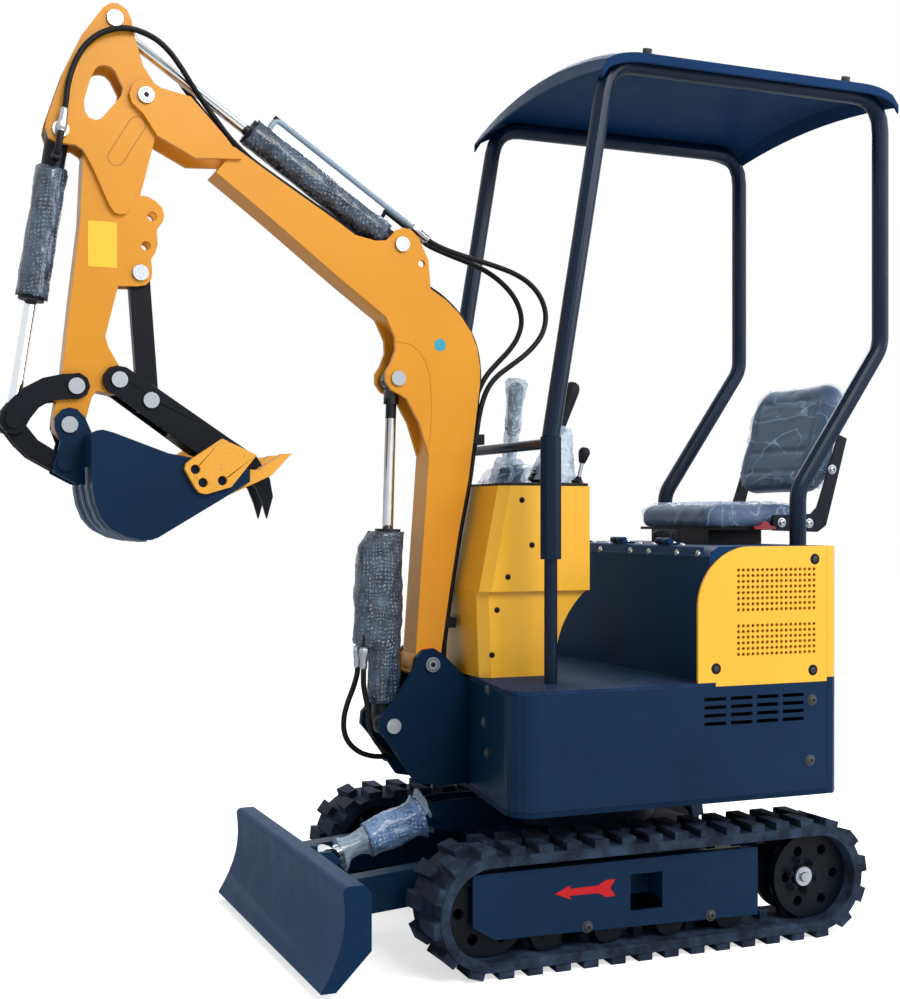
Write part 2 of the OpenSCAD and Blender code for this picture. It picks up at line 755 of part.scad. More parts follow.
module seat_back() {
    color("#16181c")
    translate([back_foot.x, 0, back_foot.y])
    rotate([0, -back_lean, 0])
    translate([-back_t, -cushion_y, 0])
    cube([back_t, 2 * cushion_y, back_h]);
}

// Control console: a leaning front with bevelled edges over a waisted pedestal; levers on its top
console_waist = 217;
console_h = 484;
console_z = [hood_z + seat, hood_z + console_waist, hood_z + console_h];
console_y = 190;
pedestal_y = 172;
console_rear = 52;
console_front = [345, 353, 300];
console_bevel = 24;
console_hollow_r = 242;
pedestal_rear = 140;
hollow_chord = [pedestal_rear - console_rear, console_z[0] - console_z[1]];
hollow_deep = sqrt(pow(console_hollow_r, 2) - pow(norm(hollow_chord) / 2, 2));
hollow_centre = [console_rear, console_z[1]] + hollow_chord / 2
    + hollow_deep * [hollow_chord.y, -hollow_chord.x] / norm(hollow_chord);
top_t = 8;
// A block with the side view's outline, its front edges bevelled
module bevelled(low, high, front_low, front_high, y) {
    hull()
    for (b = [0, console_bevel])
    side(b - y, y - b)
    polygon([[console_rear, low], [front_low - console_bevel + b, low],
        [front_high - console_bevel + b, high], [console_rear, high]]);
}
module console() {
    color("#f2b234")
    union() {
        difference() {
            bevelled(console_z[0], console_z[1] + over, console_front[0], console_front[1], pedestal_y);
            bar(hollow_centre, console_hollow_r, -console_y, console_y);
        }
        bevelled(console_z[1], console_z[2], console_front[1], console_front[2], console_y);
    }
}
boot_r = 34;
boot_h = 60;
stick_r = 9;
grip_r = 19;
stick_h = 150;
grip_h = 130;
stick_places = [[150, 105], [150, -105]];
knob_r = 15;
thin_r = 7;
thin_h = 110;
thin_places = [[90, 150], [190, 40], [190, -40]];
module levers() {
    color("#1b1e22")
    union() {
        translate([0, 0, console_z[2] + seat])
        linear_extrude(top_t)
        translate([console_rear + sheet_t, sheet_t - console_y])
        square([console_front[2] - console_bevel - console_rear - sheet_t, 2 * console_y - 2 * sheet_t]);
        for (p = stick_places)
        translate([p.x, p.y, console_z[2] + top_t]) {
            cylinder(r = boot_r, h = boot_h);
            cylinder(r = stick_r, h = stick_h);
            translate([0, 0, stick_h - over])
            cylinder(r = grip_r, h = grip_h);
        }
        for (p = thin_places)
        translate([p.x, p.y, console_z[2] + top_t - over]) {
            cylinder(r = thin_r, h = thin_h);
            translate([0, 0, thin_h])
            sphere(knob_r);
        }
    }
}

// Canopy frame: two bent hoops, sleeves on the front posts and a cross bar
hoop_y = 335;
post_r = post_d / 2;
stub_r = 16;
sleeve_r = 27;
sleeve_up = [302, 600];
sleeve_z = [hood_z + sleeve_up[0], hood_z + sleeve_up[1]];
bar_up = 584;
bar_z = hood_z + bar_up;
bar_r = 13;
front_foot_x = 236;
rear_foot_x = -486;
front_top_x = 78;
rear_post_x = -752;
rear_bend_up = [144, 530];
rear_bend_z = [hood_top + rear_bend_up[0], hood_top + rear_bend_up[1]];
rail_z = post_top - post_r;
bend_r = 90;
hoop_sides = 16;
bend_steps = 5;
// Corner points of a hoop, and the same path with each corner rounded off
hoop_corners = [[front_foot_x, sleeve_z[1] - over], [front_top_x, rail_z], [rear_post_x, rail_z],
    [rear_post_x, rear_bend_z[1]], [rear_foot_x, rear_bend_z[0]], [rear_foot_x, hood_top + seat]];
function unit(v) = v / norm(v);
function round_off(a, b, c, r) =
    let (u = unit(a - b), w = unit(c - b), half = acos(u * w) / 2, cut = r / tan(half),
        p = b + cut * u, q = b + cut * w)
    [for (i = [0 : bend_steps]) let (t = i / bend_steps)
        (1 - t) * (1 - t) * p + 2 * t * (1 - t) * b + t * t * q];
hoop_path = concat([hoop_corners[0]],
    [for (i = [1 : len(hoop_corners) - 2])
        each round_off(hoop_corners[i - 1], hoop_corners[i], hoop_corners[i + 1], bend_r)],
    [hoop_corners[len(hoop_corners) - 1]]);
function along(path, i) =
    unit(path[min(i + 1, len(path) - 1)] - path[max(i - 1, 0)]);
// A round tube along a flat path in the side view
module hoop(path, r, y) {
    n = len(path);
    rings = [for (i = [0 : n - 1]) let (d = along(path, i)) for (k = [0 : hoop_sides - 1])
        let (a = 360 * k / hoop_sides)
        [path[i].x - d.y * r * cos(a), y + r * sin(a), path[i].y + d.x * r * cos(a)]];
    walls = [for (i = [0 : n - 2], k = [0 : hoop_sides - 1])
        [i * hoop_sides + k, i * hoop_sides + (k + 1) % hoop_sides,
            (i + 1) * hoop_sides + (k + 1) % hoop_sides, (i + 1) * hoop_sides + k]];
    ends = [[for (k = [hoop_sides - 1 : -1 : 0]) k],
        [for (k = [0 : hoop_sides - 1]) (n - 1) * hoop_sides + k]];
    polyhedron(rings, concat(walls, ends));
}
module canopy_frame() {
    color("#18273b")
    union() {
        for (s = [-1, 1]) {
            hoop(hoop_path, post_r, s * hoop_y);
            translate([front_foot_x, s * hoop_y, sleeve_z[0]])
            cylinder(r = sleeve_r, h = sleeve_z[1] - sleeve_z[0], $fn = 8);
            translate([front_foot_x, s * hoop_y, hood_z + seat])
            cylinder(r = stub_r, h = sleeve_z[0] - hood_z + over);
        }
        translate([front_foot_x, -hoop_y, bar_z])
        rotate([-90, 0, 0])
        cylinder(r = bar_r, h = 2 * hoop_y);
    }
}
// Roof: an arched shell with a lip along each side, whose ends droop over the hoops' bends
roof_x = [-770, 125];
roof_rise = 58;
roof_t = 8;
roof_gap = 0.8;
roof_lip = 24;
roof_end_l = [112, 122];
roof_drop = [45, 54];
roof_flat_share = 0.45;
roof_steps = 12;
roof_end_steps = 6;
roof_half = roof_w / 2;
function bow(y) = 1 - pow(y / roof_half, 2);
roof_slope = atan(2 * roof_rise * hoop_y / pow(roof_half, 2));
roof_edge = rail_z + post_r / cos(roof_slope) + roof_gap + roof_t - roof_rise * bow(hoop_y);
// Share of the droop at a share of the way along the drooping end
function fall(u) = 1 - sqrt(1 - u * u);
roof_stations = concat(
    [for (i = [roof_end_steps : -1 : 0]) let (u = i / roof_end_steps)
        [roof_x[0] + roof_end_l[0] * (1 - u), fall(u), roof_drop[0]]],
    [for (i = [0 : roof_end_steps]) let (u = i / roof_end_steps)
        [roof_x[1] - roof_end_l[1] * (1 - u), fall(u), roof_drop[1]]]);
function roof_z(y, s) = roof_edge + roof_rise * bow(y) * (1 - roof_flat_share * s[1]) - s[2] * s[1];
function roof_ring(s) = concat(
    [[s[0], -roof_half, roof_z(roof_half, s) - roof_lip]],
    [for (i = [0 : roof_steps]) let (y = roof_half * (2 * i / roof_steps - 1)) [s[0], y, roof_z(y, s)]],
    [[s[0], roof_half, roof_z(roof_half, s) - roof_lip]],
    [[s[0], roof_half - roof_t, roof_z(roof_half, s) - roof_lip]],
    [for (i = [roof_steps : -1 : 0]) let (y = (roof_half - roof_t) * (2 * i / roof_steps - 1))
        [s[0], y, roof_z(y, s) - roof_t]],
    [[s[0], roof_t - roof_half, roof_z(roof_half, s) - roof_lip]]);
module roof() {
    color("#22344f")
    let (rings = [for (s = roof_stations) roof_ring(s)], n = len(rings[0]), last = len(rings) - 1,
        half_n = n / 2)
    polyhedron([for (r = rings) each r], concat(
        [for (i = [0 : last - 1], k = [0 : n - 1]) let (a = i * n + k, b = i * n + (k + 1) % n)
            each [[a, b, b + n], [a, b + n, a + n]]],
        [for (i = [0, last], k = [0 : half_n - 2])
            let (a = i * n + k, b = a + 1, c = i * n + n - 2 - k, d = c + 1)
            i == 0 ? [a, d, c, b] : [a, b, c, d]]));
}

// Boom with its ears and tip cheeks
boss_r_share = 0.026;
strap_shares = [[-0.0834, 0.372], [-0.032, 0.066]];
strap_y = 37;
strap_t = 6;
strap_deep = 30;
strap_h = 24;
strap_root = 8;
module hose_strap(p) {
    z = [p.y - strap_h / 2, p.y + strap_h / 2];
    at_both_sides()
    block([p.x - strap_deep, p.x + strap_root], [strap_y, strap_y + strap_t], z);
    block([p.x - strap_deep, p.x + strap_t - strap_deep], [-strap_y - over, strap_y + over], z);
}
module boom() {
    color("#e8a32c")
    difference() {
        union() {
            side(-boom_y, boom_y)
            difference() {
                polygon(at(foot, boom_l, boom_shares));
                spot(tip, fork_r);
            }
            both(ear_y, boom_y)
            polygon(at(foot, boom_l, rod_ear_shares));
            both(ear_y, boom_y)
            polygon(at(foot, boom_l, base_ear_shares));
            both(boom_y - over, cheek_out)
            difference() {
                polygon(at(foot, boom_l, cheek_shares));
                spot(tip, fork_r);
            }
            both(cheek_y, cheek_out)
            polygon(at(foot, boom_l, cheek_shares));
            bar(foot, boss_r_share * boom_l, -bracket_in + slack, bracket_in - slack);
            for (p = at(foot, boom_l, strap_shares))
            hose_strap(p);
        }
        bar(foot, pin_r + fit, -machine_w, machine_w);
        bar(tip, pin_r + fit, -machine_w, machine_w);
        bar(arm_base, pin_r + fit, -machine_w, machine_w);
        bar(boom_rod, pin_r + fit, -machine_w, machine_w);
        bar(lift_hole, lift_r, -machine_w, machine_w);
        // room for the rod eye between its ears
        bar(boom_rod, eye_room, -ear_y, ear_y);
    }
}
fork_r = 236;
lift_r = 9;
eye_room = 62;
// Pins through the boom; at the rod eye only the two ends through the ears
module stub_pins(p, y0, y1) {
    both(y0, y1)
    spot(p, pin_r);
    both(y1 + seat, y1 + pin_head_t)
    spot(p, pin_head_r);
    both(y1 - over, y1 + seat + over)
    spot(p, pin_r);
}
module through_pin(p, y1) {
    bar(p, pin_r, -y1 - seat - over, y1 + seat + over);
    both(y1 + seat, y1 + pin_head_t)
    spot(p, pin_head_r);
}
module boom_pins() {
    color("#b9bdc2")
    union() {
        through_pin(tip, cheek_out);
        through_pin(arm_base, boom_y);
        stub_pins(boom_rod, ear_y, boom_y);
    }
}

// Hydraulic cylinders: a barrel that turns on its base pin, a rod that slides in its gland
module barrel(a, b, l, r, y, bore) {
    translate([a.x, 0, a.y])
    rotate([0, aim(a, b), 0])
    difference() {
        union() {
            bar([0, 0], eye_r, -y, y);
            translate([0, 0, eye_r - over])
            cylinder(r = r, h = l - eye_r + over);
            translate([0, 0, l - gland_l])
            cylinder(r = r + gland_r - barrel_r, h = gland_l);
            cylinder(r = min(y, r), h = eye_r);
        }
        bar([0, 0], pin_r + fit, -machine_w, machine_w);
        translate([0, 0, bore])
        cylinder(r = rod_r + fit, h = l);
    }
}
module rod(a, b, tail, y) {
    l = norm(b - a);
    translate([a.x, 0, a.y])
    rotate([0, aim(a, b), 0])
    union() {
        translate([0, 0, tail])
        cylinder(r = rod_r, h = l - tail);
        translate([0, 0, l])
        bar([0, 0], rod_eye_r, -y, y);
        translate([0, 0, l - rod_eye_r - collar_l])
        cylinder(r = min(collar_r, y + over), h = collar_l + over);
    }
}
// A hard pipe beside a barrel, from the fitting at its low end to its bend into the barrel
pipe_r = 6;
fitting_l = 42;
pipe_root = 20;
module pipe(place, from, to) {
    translate([place.x, place.y, from])
    cylinder(r = fitting_r, h = fitting_l);
    translate([place.x, place.y, from + fitting_l - over])
    cylinder(r = pipe_r, h = to + pipe_r - from - fitting_l + over);
    translate([place.x > 0 ? pipe_root : place.x, place.y, to])
    rotate([0, 90, 0])
    cylinder(r = pipe_r - over, h = abs(place.x) - pipe_root);
}
module on_barrel(a, b) {
    translate([a.x, 0, a.y])
    rotate([0, aim(a, b), 0])
    children();
}
boom_pipes = [64, 24];
boom_pipe_from = 150;
arm_pipes = [-66, 15];
arm_pipe_from = -46;
port_r = 11;
port_l = 62;
port_y = 64;
port_root = 20;
port_top = -34;
rod_eye_r = 27;
collar_r = 20;
collar_l = 36;
boom_barrel_l = 495;
boom_pipe_below = 65;
boom_pipe_to = [boom_barrel_l - boom_pipe_below, 230];
boom_bore = 60;
boom_tail = 290;
arm_barrel_l = 470;
arm_pipe_below = 40;
arm_pipe_to = [arm_barrel_l - arm_pipe_below, 70];
arm_bore = 50;
arm_tail = 335;
bucket_barrel_l = 400;
bucket_bore = 46;
bucket_tail = 262;
bucket_barrel_r = 27;
base_y = 57;
arm_eye_y = 31;
bucket_eye_y = arm_y - over - slack;
module boom_barrel() {
    color("#2b2f36")
    union() {
        barrel(boom_base, boom_rod, boom_barrel_l, barrel_r, base_y, boom_bore);
        on_barrel(boom_base, boom_rod) {
            pipe([boom_pipes.x, -boom_pipes.y], boom_pipe_from, boom_pipe_to[0]);
            pipe(boom_pipes, boom_pipe_from, boom_pipe_to[1]);
        }
    }
}
module boom_rod() {
    color("#c9ced4")
    rod(boom_base, boom_rod, boom_tail, rod_eye_y);
}
module arm_barrel() {
    color("#2b2f36")
    union() {
        barrel(arm_base, arm_rod, arm_barrel_l, barrel_r, arm_eye_y, arm_bore);
        on_barrel(arm_base, arm_rod) {
            pipe(arm_pipes, arm_pipe_from, arm_pipe_to[0]);
            pipe([arm_pipes.x, -arm_pipes.y], arm_pipe_from, arm_pipe_to[1]);
        }
    }
}
module arm_rod() {
    color("#c9ced4")
    rod(arm_base, arm_rod, arm_tail, rod_eye_y);
}
module bucket_barrel() {
    color("#2b2f36")
    union() {
        barrel(bucket_base, rod_end, bucket_barrel_l, bucket_barrel_r, bucket_eye_y, bucket_bore);
        on_barrel(bucket_base, rod_end)
        at_both_sides() {
            bar([0, port_l], port_r, port_root, port_y + over);
            translate([0, port_y, port_top])
            cylinder(r = fitting_r, h = port_l - port_top);
        }
    }
}
module bucket_rod() {
    color("#c9ced4")
    rod(bucket_base, rod_end, bucket_tail, rod_mid_y);
}

// Arm: box section, head plates with the window, thumb comb
head_boss_r = 40;
tie_r = 16;
tie_share = [0.018, 0.070];
spare_r = 11;
comb_in = 17;
module arm() {
    color("#e8a32c")
    difference() {
        union() {
            side(-arm_y, arm_y)
            polygon(at(tip, arm_l, box_shares));
            both(arm_y - over, head_y)
            difference() {
                polygon(at(tip, arm_l, head_shares));
                polygon(at(tip, arm_l, window_shares));
            }
            bar(tip, head_boss_r, -head_y, head_y);
            bar(tip + arm_l * tie_share, tie_r, -head_y, head_y);
            both(comb_in, arm_y - slack)
            polygon(at(tip, arm_l, comb_shares));
        }
        for (p = [tip, bucket_base, rocker_pin, bucket_pin, thumb_pin])
        bar(p, pin_r + fit, -machine_w, machine_w);
        bar(arm_rod, pin_r + fit, -machine_w, machine_w);
        bar(strut_top, pin_r + fit, -machine_w, machine_w);
        for (p = spare_holes)
        bar(p, spare_r, -machine_w, machine_w);
    }
}
module arm_pins() {
    color("#b9bdc2")
    union() {
        through_pin(bucket_base, head_y);
        through_pin(rocker_pin, rocker_out);
        through_pin(bucket_pin, ear_out);
        through_pin(thumb_pin, thumb_out);
        through_pin(strut_low, thumb_out);
        through_pin(strut_top, arm_y - slack);
        stub_pins(arm_rod, arm_y, head_y);
    }
}
thumb_in = arm_y + slack;
thumb_out = thumb_in + plate_t;
strut_y = comb_in - slack / 2;
strut_w = 50;
module thumb() {
    color("#16202e")
    difference() {
        union() {
            both(thumb_in, thumb_out)
            polygon(at(bucket_pin, arm_l, thumb_shares));
            intersection() {
                side(-thumb_in - over, thumb_in + over)
                polygon(at(bucket_pin, arm_l, thumb_shares));
                block([bucket_pin.x + arm_l * tine_from_share, bucket_pin.x + arm_l * thumb_web_share],
                    [-machine_w, machine_w], [0, post_top]);
            }
        }
        bar(thumb_pin, pin_r + fit, -machine_w, machine_w);
        bar(strut_low, pin_r + fit, -machine_w, machine_w);
    }
    side(-strut_y, strut_y)
    difference() {
        translate(strut_low)
        rotate(-aim(strut_low, strut_top))
        translate([-strut_w / 2, -strut_w / 2])
        square([strut_w, norm(strut_top - strut_low) + strut_w]);
        spot(strut_top, pin_r + fit);
        spot(strut_low, pin_r + fit);
    }
}

// Bucket linkage: rocker on the arm, link from its end to the bucket
module rocker() {
    color("#16202e")
    difference() {
        union() {
            both(rocker_in, rocker_out)
            polygon(at(bucket_pin, arm_l, rocker_shares));
            both(link_in, rocker_in + over)
            spot(rod_end, pin_r);
            both(rocker_out - over, rocker_out + pin_head_t)
            spot(rod_end, pin_head_r);
        }
        bar(rocker_pin, pin_r + fit, -machine_w, machine_w);
    }
}
module link() {
    color("#16202e")
    difference() {
        union() {
            both(link_in, link_out)
            polygon(at(bucket_pin, arm_l, link_shares));
            bar(link_end, link_boss_r, -link_out, link_out);
        }
        bar(rod_end, pin_r + fit, -machine_w, machine_w);
    }
}
link_boss_r = 22;

// Bucket: ears, side plates and curved shell; teeth and side cutters
ear_in = arm_y + slack;
ear_out = ear_in + plate_t;
wall_t = 10;
bucket_half = bucket_w / 2;
bucket_pts = at(bucket_pin, bucket_l, bucket_shares);
mouth_cut = concat([for (i = [mouth_from : mouth_to]) bucket_pts[i]],
    [for (i = [mouth_to : -1 : mouth_from]) bucket_pts[i] - [0, 2 * wall_t]]);
module bucket() {
    color("#1c2c42")
    difference() {
        union() {
            both(bucket_half - wall_t, bucket_half)
            polygon(bucket_pts);
            side(-bucket_half + wall_t - over, bucket_half - wall_t + over)
            difference() {
                polygon(bucket_pts);
                offset(delta = -wall_t)
                polygon(bucket_pts);
                polygon(mouth_cut);
            }
            both(ear_in, ear_out)
            difference() {
                polygon(at(bucket_pin, arm_l, ear_shares));
                offset(delta = -wall_t / 2)
                polygon(bucket_pts);
            }
            both(ear_out - over, ear_out + pin_head_t)
            spot(link_end, pin_head_r);
        }
        bar(bucket_pin, pin_r + fit, -machine_w, machine_w);
    }
}
cutter_t = 14;
cutter_hole_r = 11;
tooth_w = 40;
tooth_y_share = 0.74;
tooth_pts = concat([bucket_pts[lip_from], bucket_pts[lip_from + 1]], at(bucket_pin, bucket_l, tooth_shares),
    [bucket_pts[mouth_to]]);
module teeth() {
    color("#f0b030")
    union() {
        for (k = [-1, 0, 1])
        side(k * tooth_y_share * bucket_half - tooth_w / 2, k * tooth_y_share * bucket_half + tooth_w / 2)
        polygon(tooth_pts);
        both(bucket_half + seat, bucket_half + cutter_t)
        difference() {
            polygon(at(bucket_pin, bucket_l, cutter_shares));
            for (p = at(bucket_pin, bucket_l, cutter_hole_shares))
            spot(p, cutter_hole_r);
        }
    }
}

// Blade: boxed mouldboard, two arms, its cylinder
blade_x = 812;
blade_z = [20, 250];
blade_back = 66;
blade_toe = 52;
blade_dish = 10;
blade_steps = 8;
blade_lip = 14;
blade_face_h = blade_z[1] - blade_lip - blade_z[0];
blade_front = concat(arc([blade_x - blade_lip, blade_z[1] - blade_lip], blade_lip, 90, 0),
    [for (i = [1 : blade_steps]) let (t = i / blade_steps)
        [blade_x + blade_toe * t * t - blade_dish * sin(180 * t), blade_z[0] + blade_face_h * (1 - t)]]);
blade_bevel = 17;
blade_pts = concat(blade_front, [[blade_x + blade_bevel, blade_z[0]],
    [blade_x - blade_back, blade_z[0] + blade_back + blade_bevel],
    [blade_x - blade_back, blade_z[1] - blade_bevel],
    [blade_x - blade_back + blade_bevel, blade_z[1]]]);
blade_rod_end = [700, 205];
blade_lug_h = 46;
module blade() {
    color("#3a4d68")
    union() {
        side(-blade_w / 2, blade_w / 2)
        polygon(blade_pts);
        both(blade_lug_y - slack, blade_lug_y - slack + lug_t)
        polygon([[blade_x - blade_back + over, blade_rod_end.y - blade_lug_h],
            [blade_x - blade_back + over, blade_rod_end.y + blade_lug_h / 2],
            [blade_rod_end.x, blade_rod_end.y + blade_lug_h / 2],
            [blade_rod_end.x - blade_lug_h / 2, blade_rod_end.y],
            [blade_rod_end.x, blade_rod_end.y - blade_lug_h / 2]]);
    }
}
blade_arm_h = 90;
blade_boss_r = 46;
blade_arm_z = 150;
module blade_arms() {
    color("#24344a")
    difference() {
        both(blade_arm_y - blade_arm_t / 2, blade_arm_y + blade_arm_t / 2)
        union() {
            polygon([[blade_x - blade_back - seat, blade_arm_z - blade_arm_h / 2],
                [blade_x - blade_back - seat, blade_arm_z + blade_arm_h / 2],
                [blade_pivot.x, blade_pivot.y + blade_boss_r],
                [blade_pivot.x, blade_pivot.y - blade_boss_r]]);
            spot(blade_pivot, blade_boss_r);
        }
        bar(blade_pivot, pin_r + fit, -machine_w, machine_w);
    }
}
blade_barrel_l = 178;
blade_bore = 40;
blade_tail = 110;
blade_barrel_r = 32;
module blade_barrel() {
    color("#2b2f36")
    barrel(blade_base, blade_rod_end, blade_barrel_l, blade_barrel_r, blade_lug_y - slack, blade_bore);
}
module blade_rod() {
    color("#c9ced4")
    rod(blade_base, blade_rod_end, blade_tail, rod_eye_y);
}

// Hoses: plain tubes along smooth routes. Side view points of each route, and its place across
hose_r = 7;
hose_sides = 10;
hose_steps = 2;
lanes = [9, 27];
arm_loop_a = [[438, 15, 1784.5], [417, 15, 1771], [380, 15, 1757], [330, 15, 1744], [280, 15, 1733],
    [230, 16, 1721], [185, 17, 1707], [145, 18, 1686], [115, 20, 1656], [98, 21, 1620], [96, 22, 1584],
    [108, 24, 1549], [132, 25, 1517], [165, 26, 1487], [204, 27, 1459], [240, 27, 1432], [266, 27, 1400],
    [282, 27, 1362], [292, 27, 1322], [298, 27, 1285]];
arm_loop_b = [[438, -15, 1784.5], [417, -15, 1771], [380, -15, 1757], [335, -15, 1743], [290, -15, 1729],
    [246, -16, 1711], [206, -17, 1686], [172, -19, 1654], [151, -21, 1617], [146, -23, 1579],
    [158, -25, 1541], [182, -26, 1507], [214, -27, 1474], [245, -27, 1440], [267, -27, 1402],
    [282, -27, 1362], [292, -27, 1322], [298, -27, 1285]];
bucket_run = [[1354.5, 64, 1997.5], [1350.5, 64, 2023], [1345, 63, 2066], [1331, 62, 2114], [1308, 62, 2157],
    [1275, 62, 2189], [1238, 61, 2207], [1202, 57, 2213], [1166, 50, 2209], [1132, 44, 2196],
    [1101, 38, 2172], [1073, 33, 2139], [1045, 28, 2101], [1013, 22, 2061], [980, 17, 2022],
    [944, 13, 1983], [900, 10, 1946], [853, 9, 1916], [793, 9, 1880], [733, 9, 1844], [673, 9, 1808],
    [613, 9, 1769], [554, 9, 1730], [490, 9, 1693], [430, 9, 1658], [385, 9, 1630], [346, 9, 1594],
    [312, 9, 1547], [294, 9, 1505], [285.5, 9, 1456], [285, 9, 1410], [289, 9, 1375], [293, 9, 1340]];
foot_run = [[293.1, 1339.2], [297, 1305], [307, 1235], [318, 1160], [331, 1095], [344, 1030], [357, 957],
    [369, 885], [381, 802], [390, 735], [391, 690], [390, 650], [386, 618], [376, 594], [359, 581],
    [341, 580]];
lift_run_a = [[609, 688.5], [610, 662], [621, 625], [635, 590], [645, 553], [645, 516], [632, 486],
    [606, 462], [574, 449], [540, 445], [500, 446], [450, 448], [400, 450], [365, 450], [341, 450]];
lift_run_b = [[609, 688.5], [609.5, 662], [609, 636], [604, 608], [598, 580], [594, 549], [588, 518],
    [572, 488], [545, 465], [510, 453], [465, 450], [420, 450], [375, 450], [341, 450]];
foot_from = 2;
function across(run, y) = [for (p = run) [p.x, y, p.y]];
function tail(run) = [for (i = [foot_from : len(run) - 1]) run[i]];
function flip(run) = [for (p = run) [p.x, -p.y, p.z]];
// A smooth curve through the points
function pick(run, i) = run[max(0, min(len(run) - 1, i))];
function between(a, b, c, d, t) =
    b + t * (c - a) / 2 + t * t * (a - 5 * b / 2 + 2 * c - d / 2) + t * t * t * (3 * b - a - 3 * c + d) / 2;
function smooth(run) = concat(
    [for (i = [0 : len(run) - 2], k = [0 : hose_steps - 1])
        between(pick(run, i - 1), run[i], run[i + 1], pick(run, i + 2), k / hose_steps)],
    [run[len(run) - 1]]);
module hose(run) {
    path = smooth(run);
    n = len(path);
    rings = [for (i = [0 : n - 1])
        let (d = along(path, i), u = unit(cross([0, 1, 0], d)), w = cross(d, u))
        for (k = [0 : hose_sides - 1]) let (a = 360 * k / hose_sides)
        path[i] + hose_r * (u * cos(a) + w * sin(a))];
    walls = [for (i = [0 : n - 2], k = [0 : hose_sides - 1])
        let (a = i * hose_sides + k, b = i * hose_sides + (k + 1) % hose_sides)
        each [[a, a + hose_sides, b], [b, a + hose_sides, b + hose_sides]]];
    ends = [[for (k = [0 : hose_sides - 1]) k],
        [for (k = [hose_sides - 1 : -1 : 0]) (n - 1) * hose_sides + k]];
    color("#101214")
    polyhedron(rings, concat(walls, ends));
}
module hose_arm_a() {
    hose(concat(arm_loop_a, across(tail(foot_run), lanes[1])));
}
module hose_arm_b() {
    hose(concat(arm_loop_b, across(tail(foot_run), -lanes[1])));
}
module hose_bucket_a() {
    hose(bucket_run);
}
module hose_bucket_b() {
    hose(flip(bucket_run));
}
module hose_foot_a() {
    hose(across(foot_run, lanes[0]));
}
module hose_foot_b() {
    hose(across(foot_run, -lanes[0]));
}
module hose_lift_a() {
    hose(across(lift_run_a, -boom_pipes.y));
}
module hose_lift_b() {
    hose(across(lift_run_b, boom_pipes.y));
}

car_body();
slew_ring();
track_left();
track_right();
track_frames();
track_wheels();
rollers();
deck();
floor_plate();
skirts();
counterweight();
boom_bracket();
house_pins();
engine();
hood();
side_panels();
rear_cover();
seat_deck();
seat_frame();
seat_cushion();
seat_back();
console();
levers();
canopy_frame();
roof();
boom();
boom_pins();
boom_barrel();
boom_rod();
arm_barrel();
arm_rod();
arm();
arm_pins();
thumb();
bucket_barrel();
bucket_rod();
rocker();
link();
bucket();
teeth();
blade();
blade_arms();
blade_barrel();
blade_rod();
hose_arm_a();
hose_arm_b();
hose_bucket_a();
hose_bucket_b();
hose_foot_a();
hose_foot_b();
hose_lift_a();
hose_lift_b();
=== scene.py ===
import math

import bmesh
import bpy
import numpy as np
from mathutils import Matrix, Vector, noise
from mathutils.bvhtree import BVHTree


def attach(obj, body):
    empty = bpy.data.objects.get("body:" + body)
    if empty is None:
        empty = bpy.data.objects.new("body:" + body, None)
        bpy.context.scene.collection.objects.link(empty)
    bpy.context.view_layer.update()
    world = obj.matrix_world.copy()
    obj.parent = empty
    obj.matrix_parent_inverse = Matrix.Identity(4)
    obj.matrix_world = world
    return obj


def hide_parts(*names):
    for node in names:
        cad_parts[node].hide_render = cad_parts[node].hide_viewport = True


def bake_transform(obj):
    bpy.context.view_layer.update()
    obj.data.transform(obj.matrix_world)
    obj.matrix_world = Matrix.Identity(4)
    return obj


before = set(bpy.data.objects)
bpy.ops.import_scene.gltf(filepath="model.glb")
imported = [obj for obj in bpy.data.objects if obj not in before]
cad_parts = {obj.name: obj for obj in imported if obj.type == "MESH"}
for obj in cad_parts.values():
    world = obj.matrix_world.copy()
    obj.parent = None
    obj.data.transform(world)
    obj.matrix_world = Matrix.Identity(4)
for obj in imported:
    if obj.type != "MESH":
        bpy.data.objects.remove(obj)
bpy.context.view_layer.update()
scene = bpy.context.scene
scene.view_settings.view_transform = "Standard"


def link(obj):
    scene.collection.objects.link(obj)
    return obj


# Camera at the photograph's place: a 900 by 999 frame, level, with a small shift
PHOTO = (900, 999)
FOCAL_PX = 1455.4
CENTRE_OFF_PX = (1.4, 18.8)
CAMERA_AT = Vector((1.8178, 3.5123, 1.0595))
CAMERA_YAW = math.radians(157.547)
eye = bpy.data.cameras.new("camera")
eye.sensor_width = 36.0
eye.lens = eye.sensor_width * FOCAL_PX / PHOTO[1]
eye.shift_x = CENTRE_OFF_PX[0] / PHOTO[1]
eye.shift_y = CENTRE_OFF_PX[1] / PHOTO[1]
camera = link(bpy.data.objects.new("camera", eye))
camera.location = CAMERA_AT
camera.rotation_euler = (math.pi / 2, 0, CAMERA_YAW)
scene.camera = camera

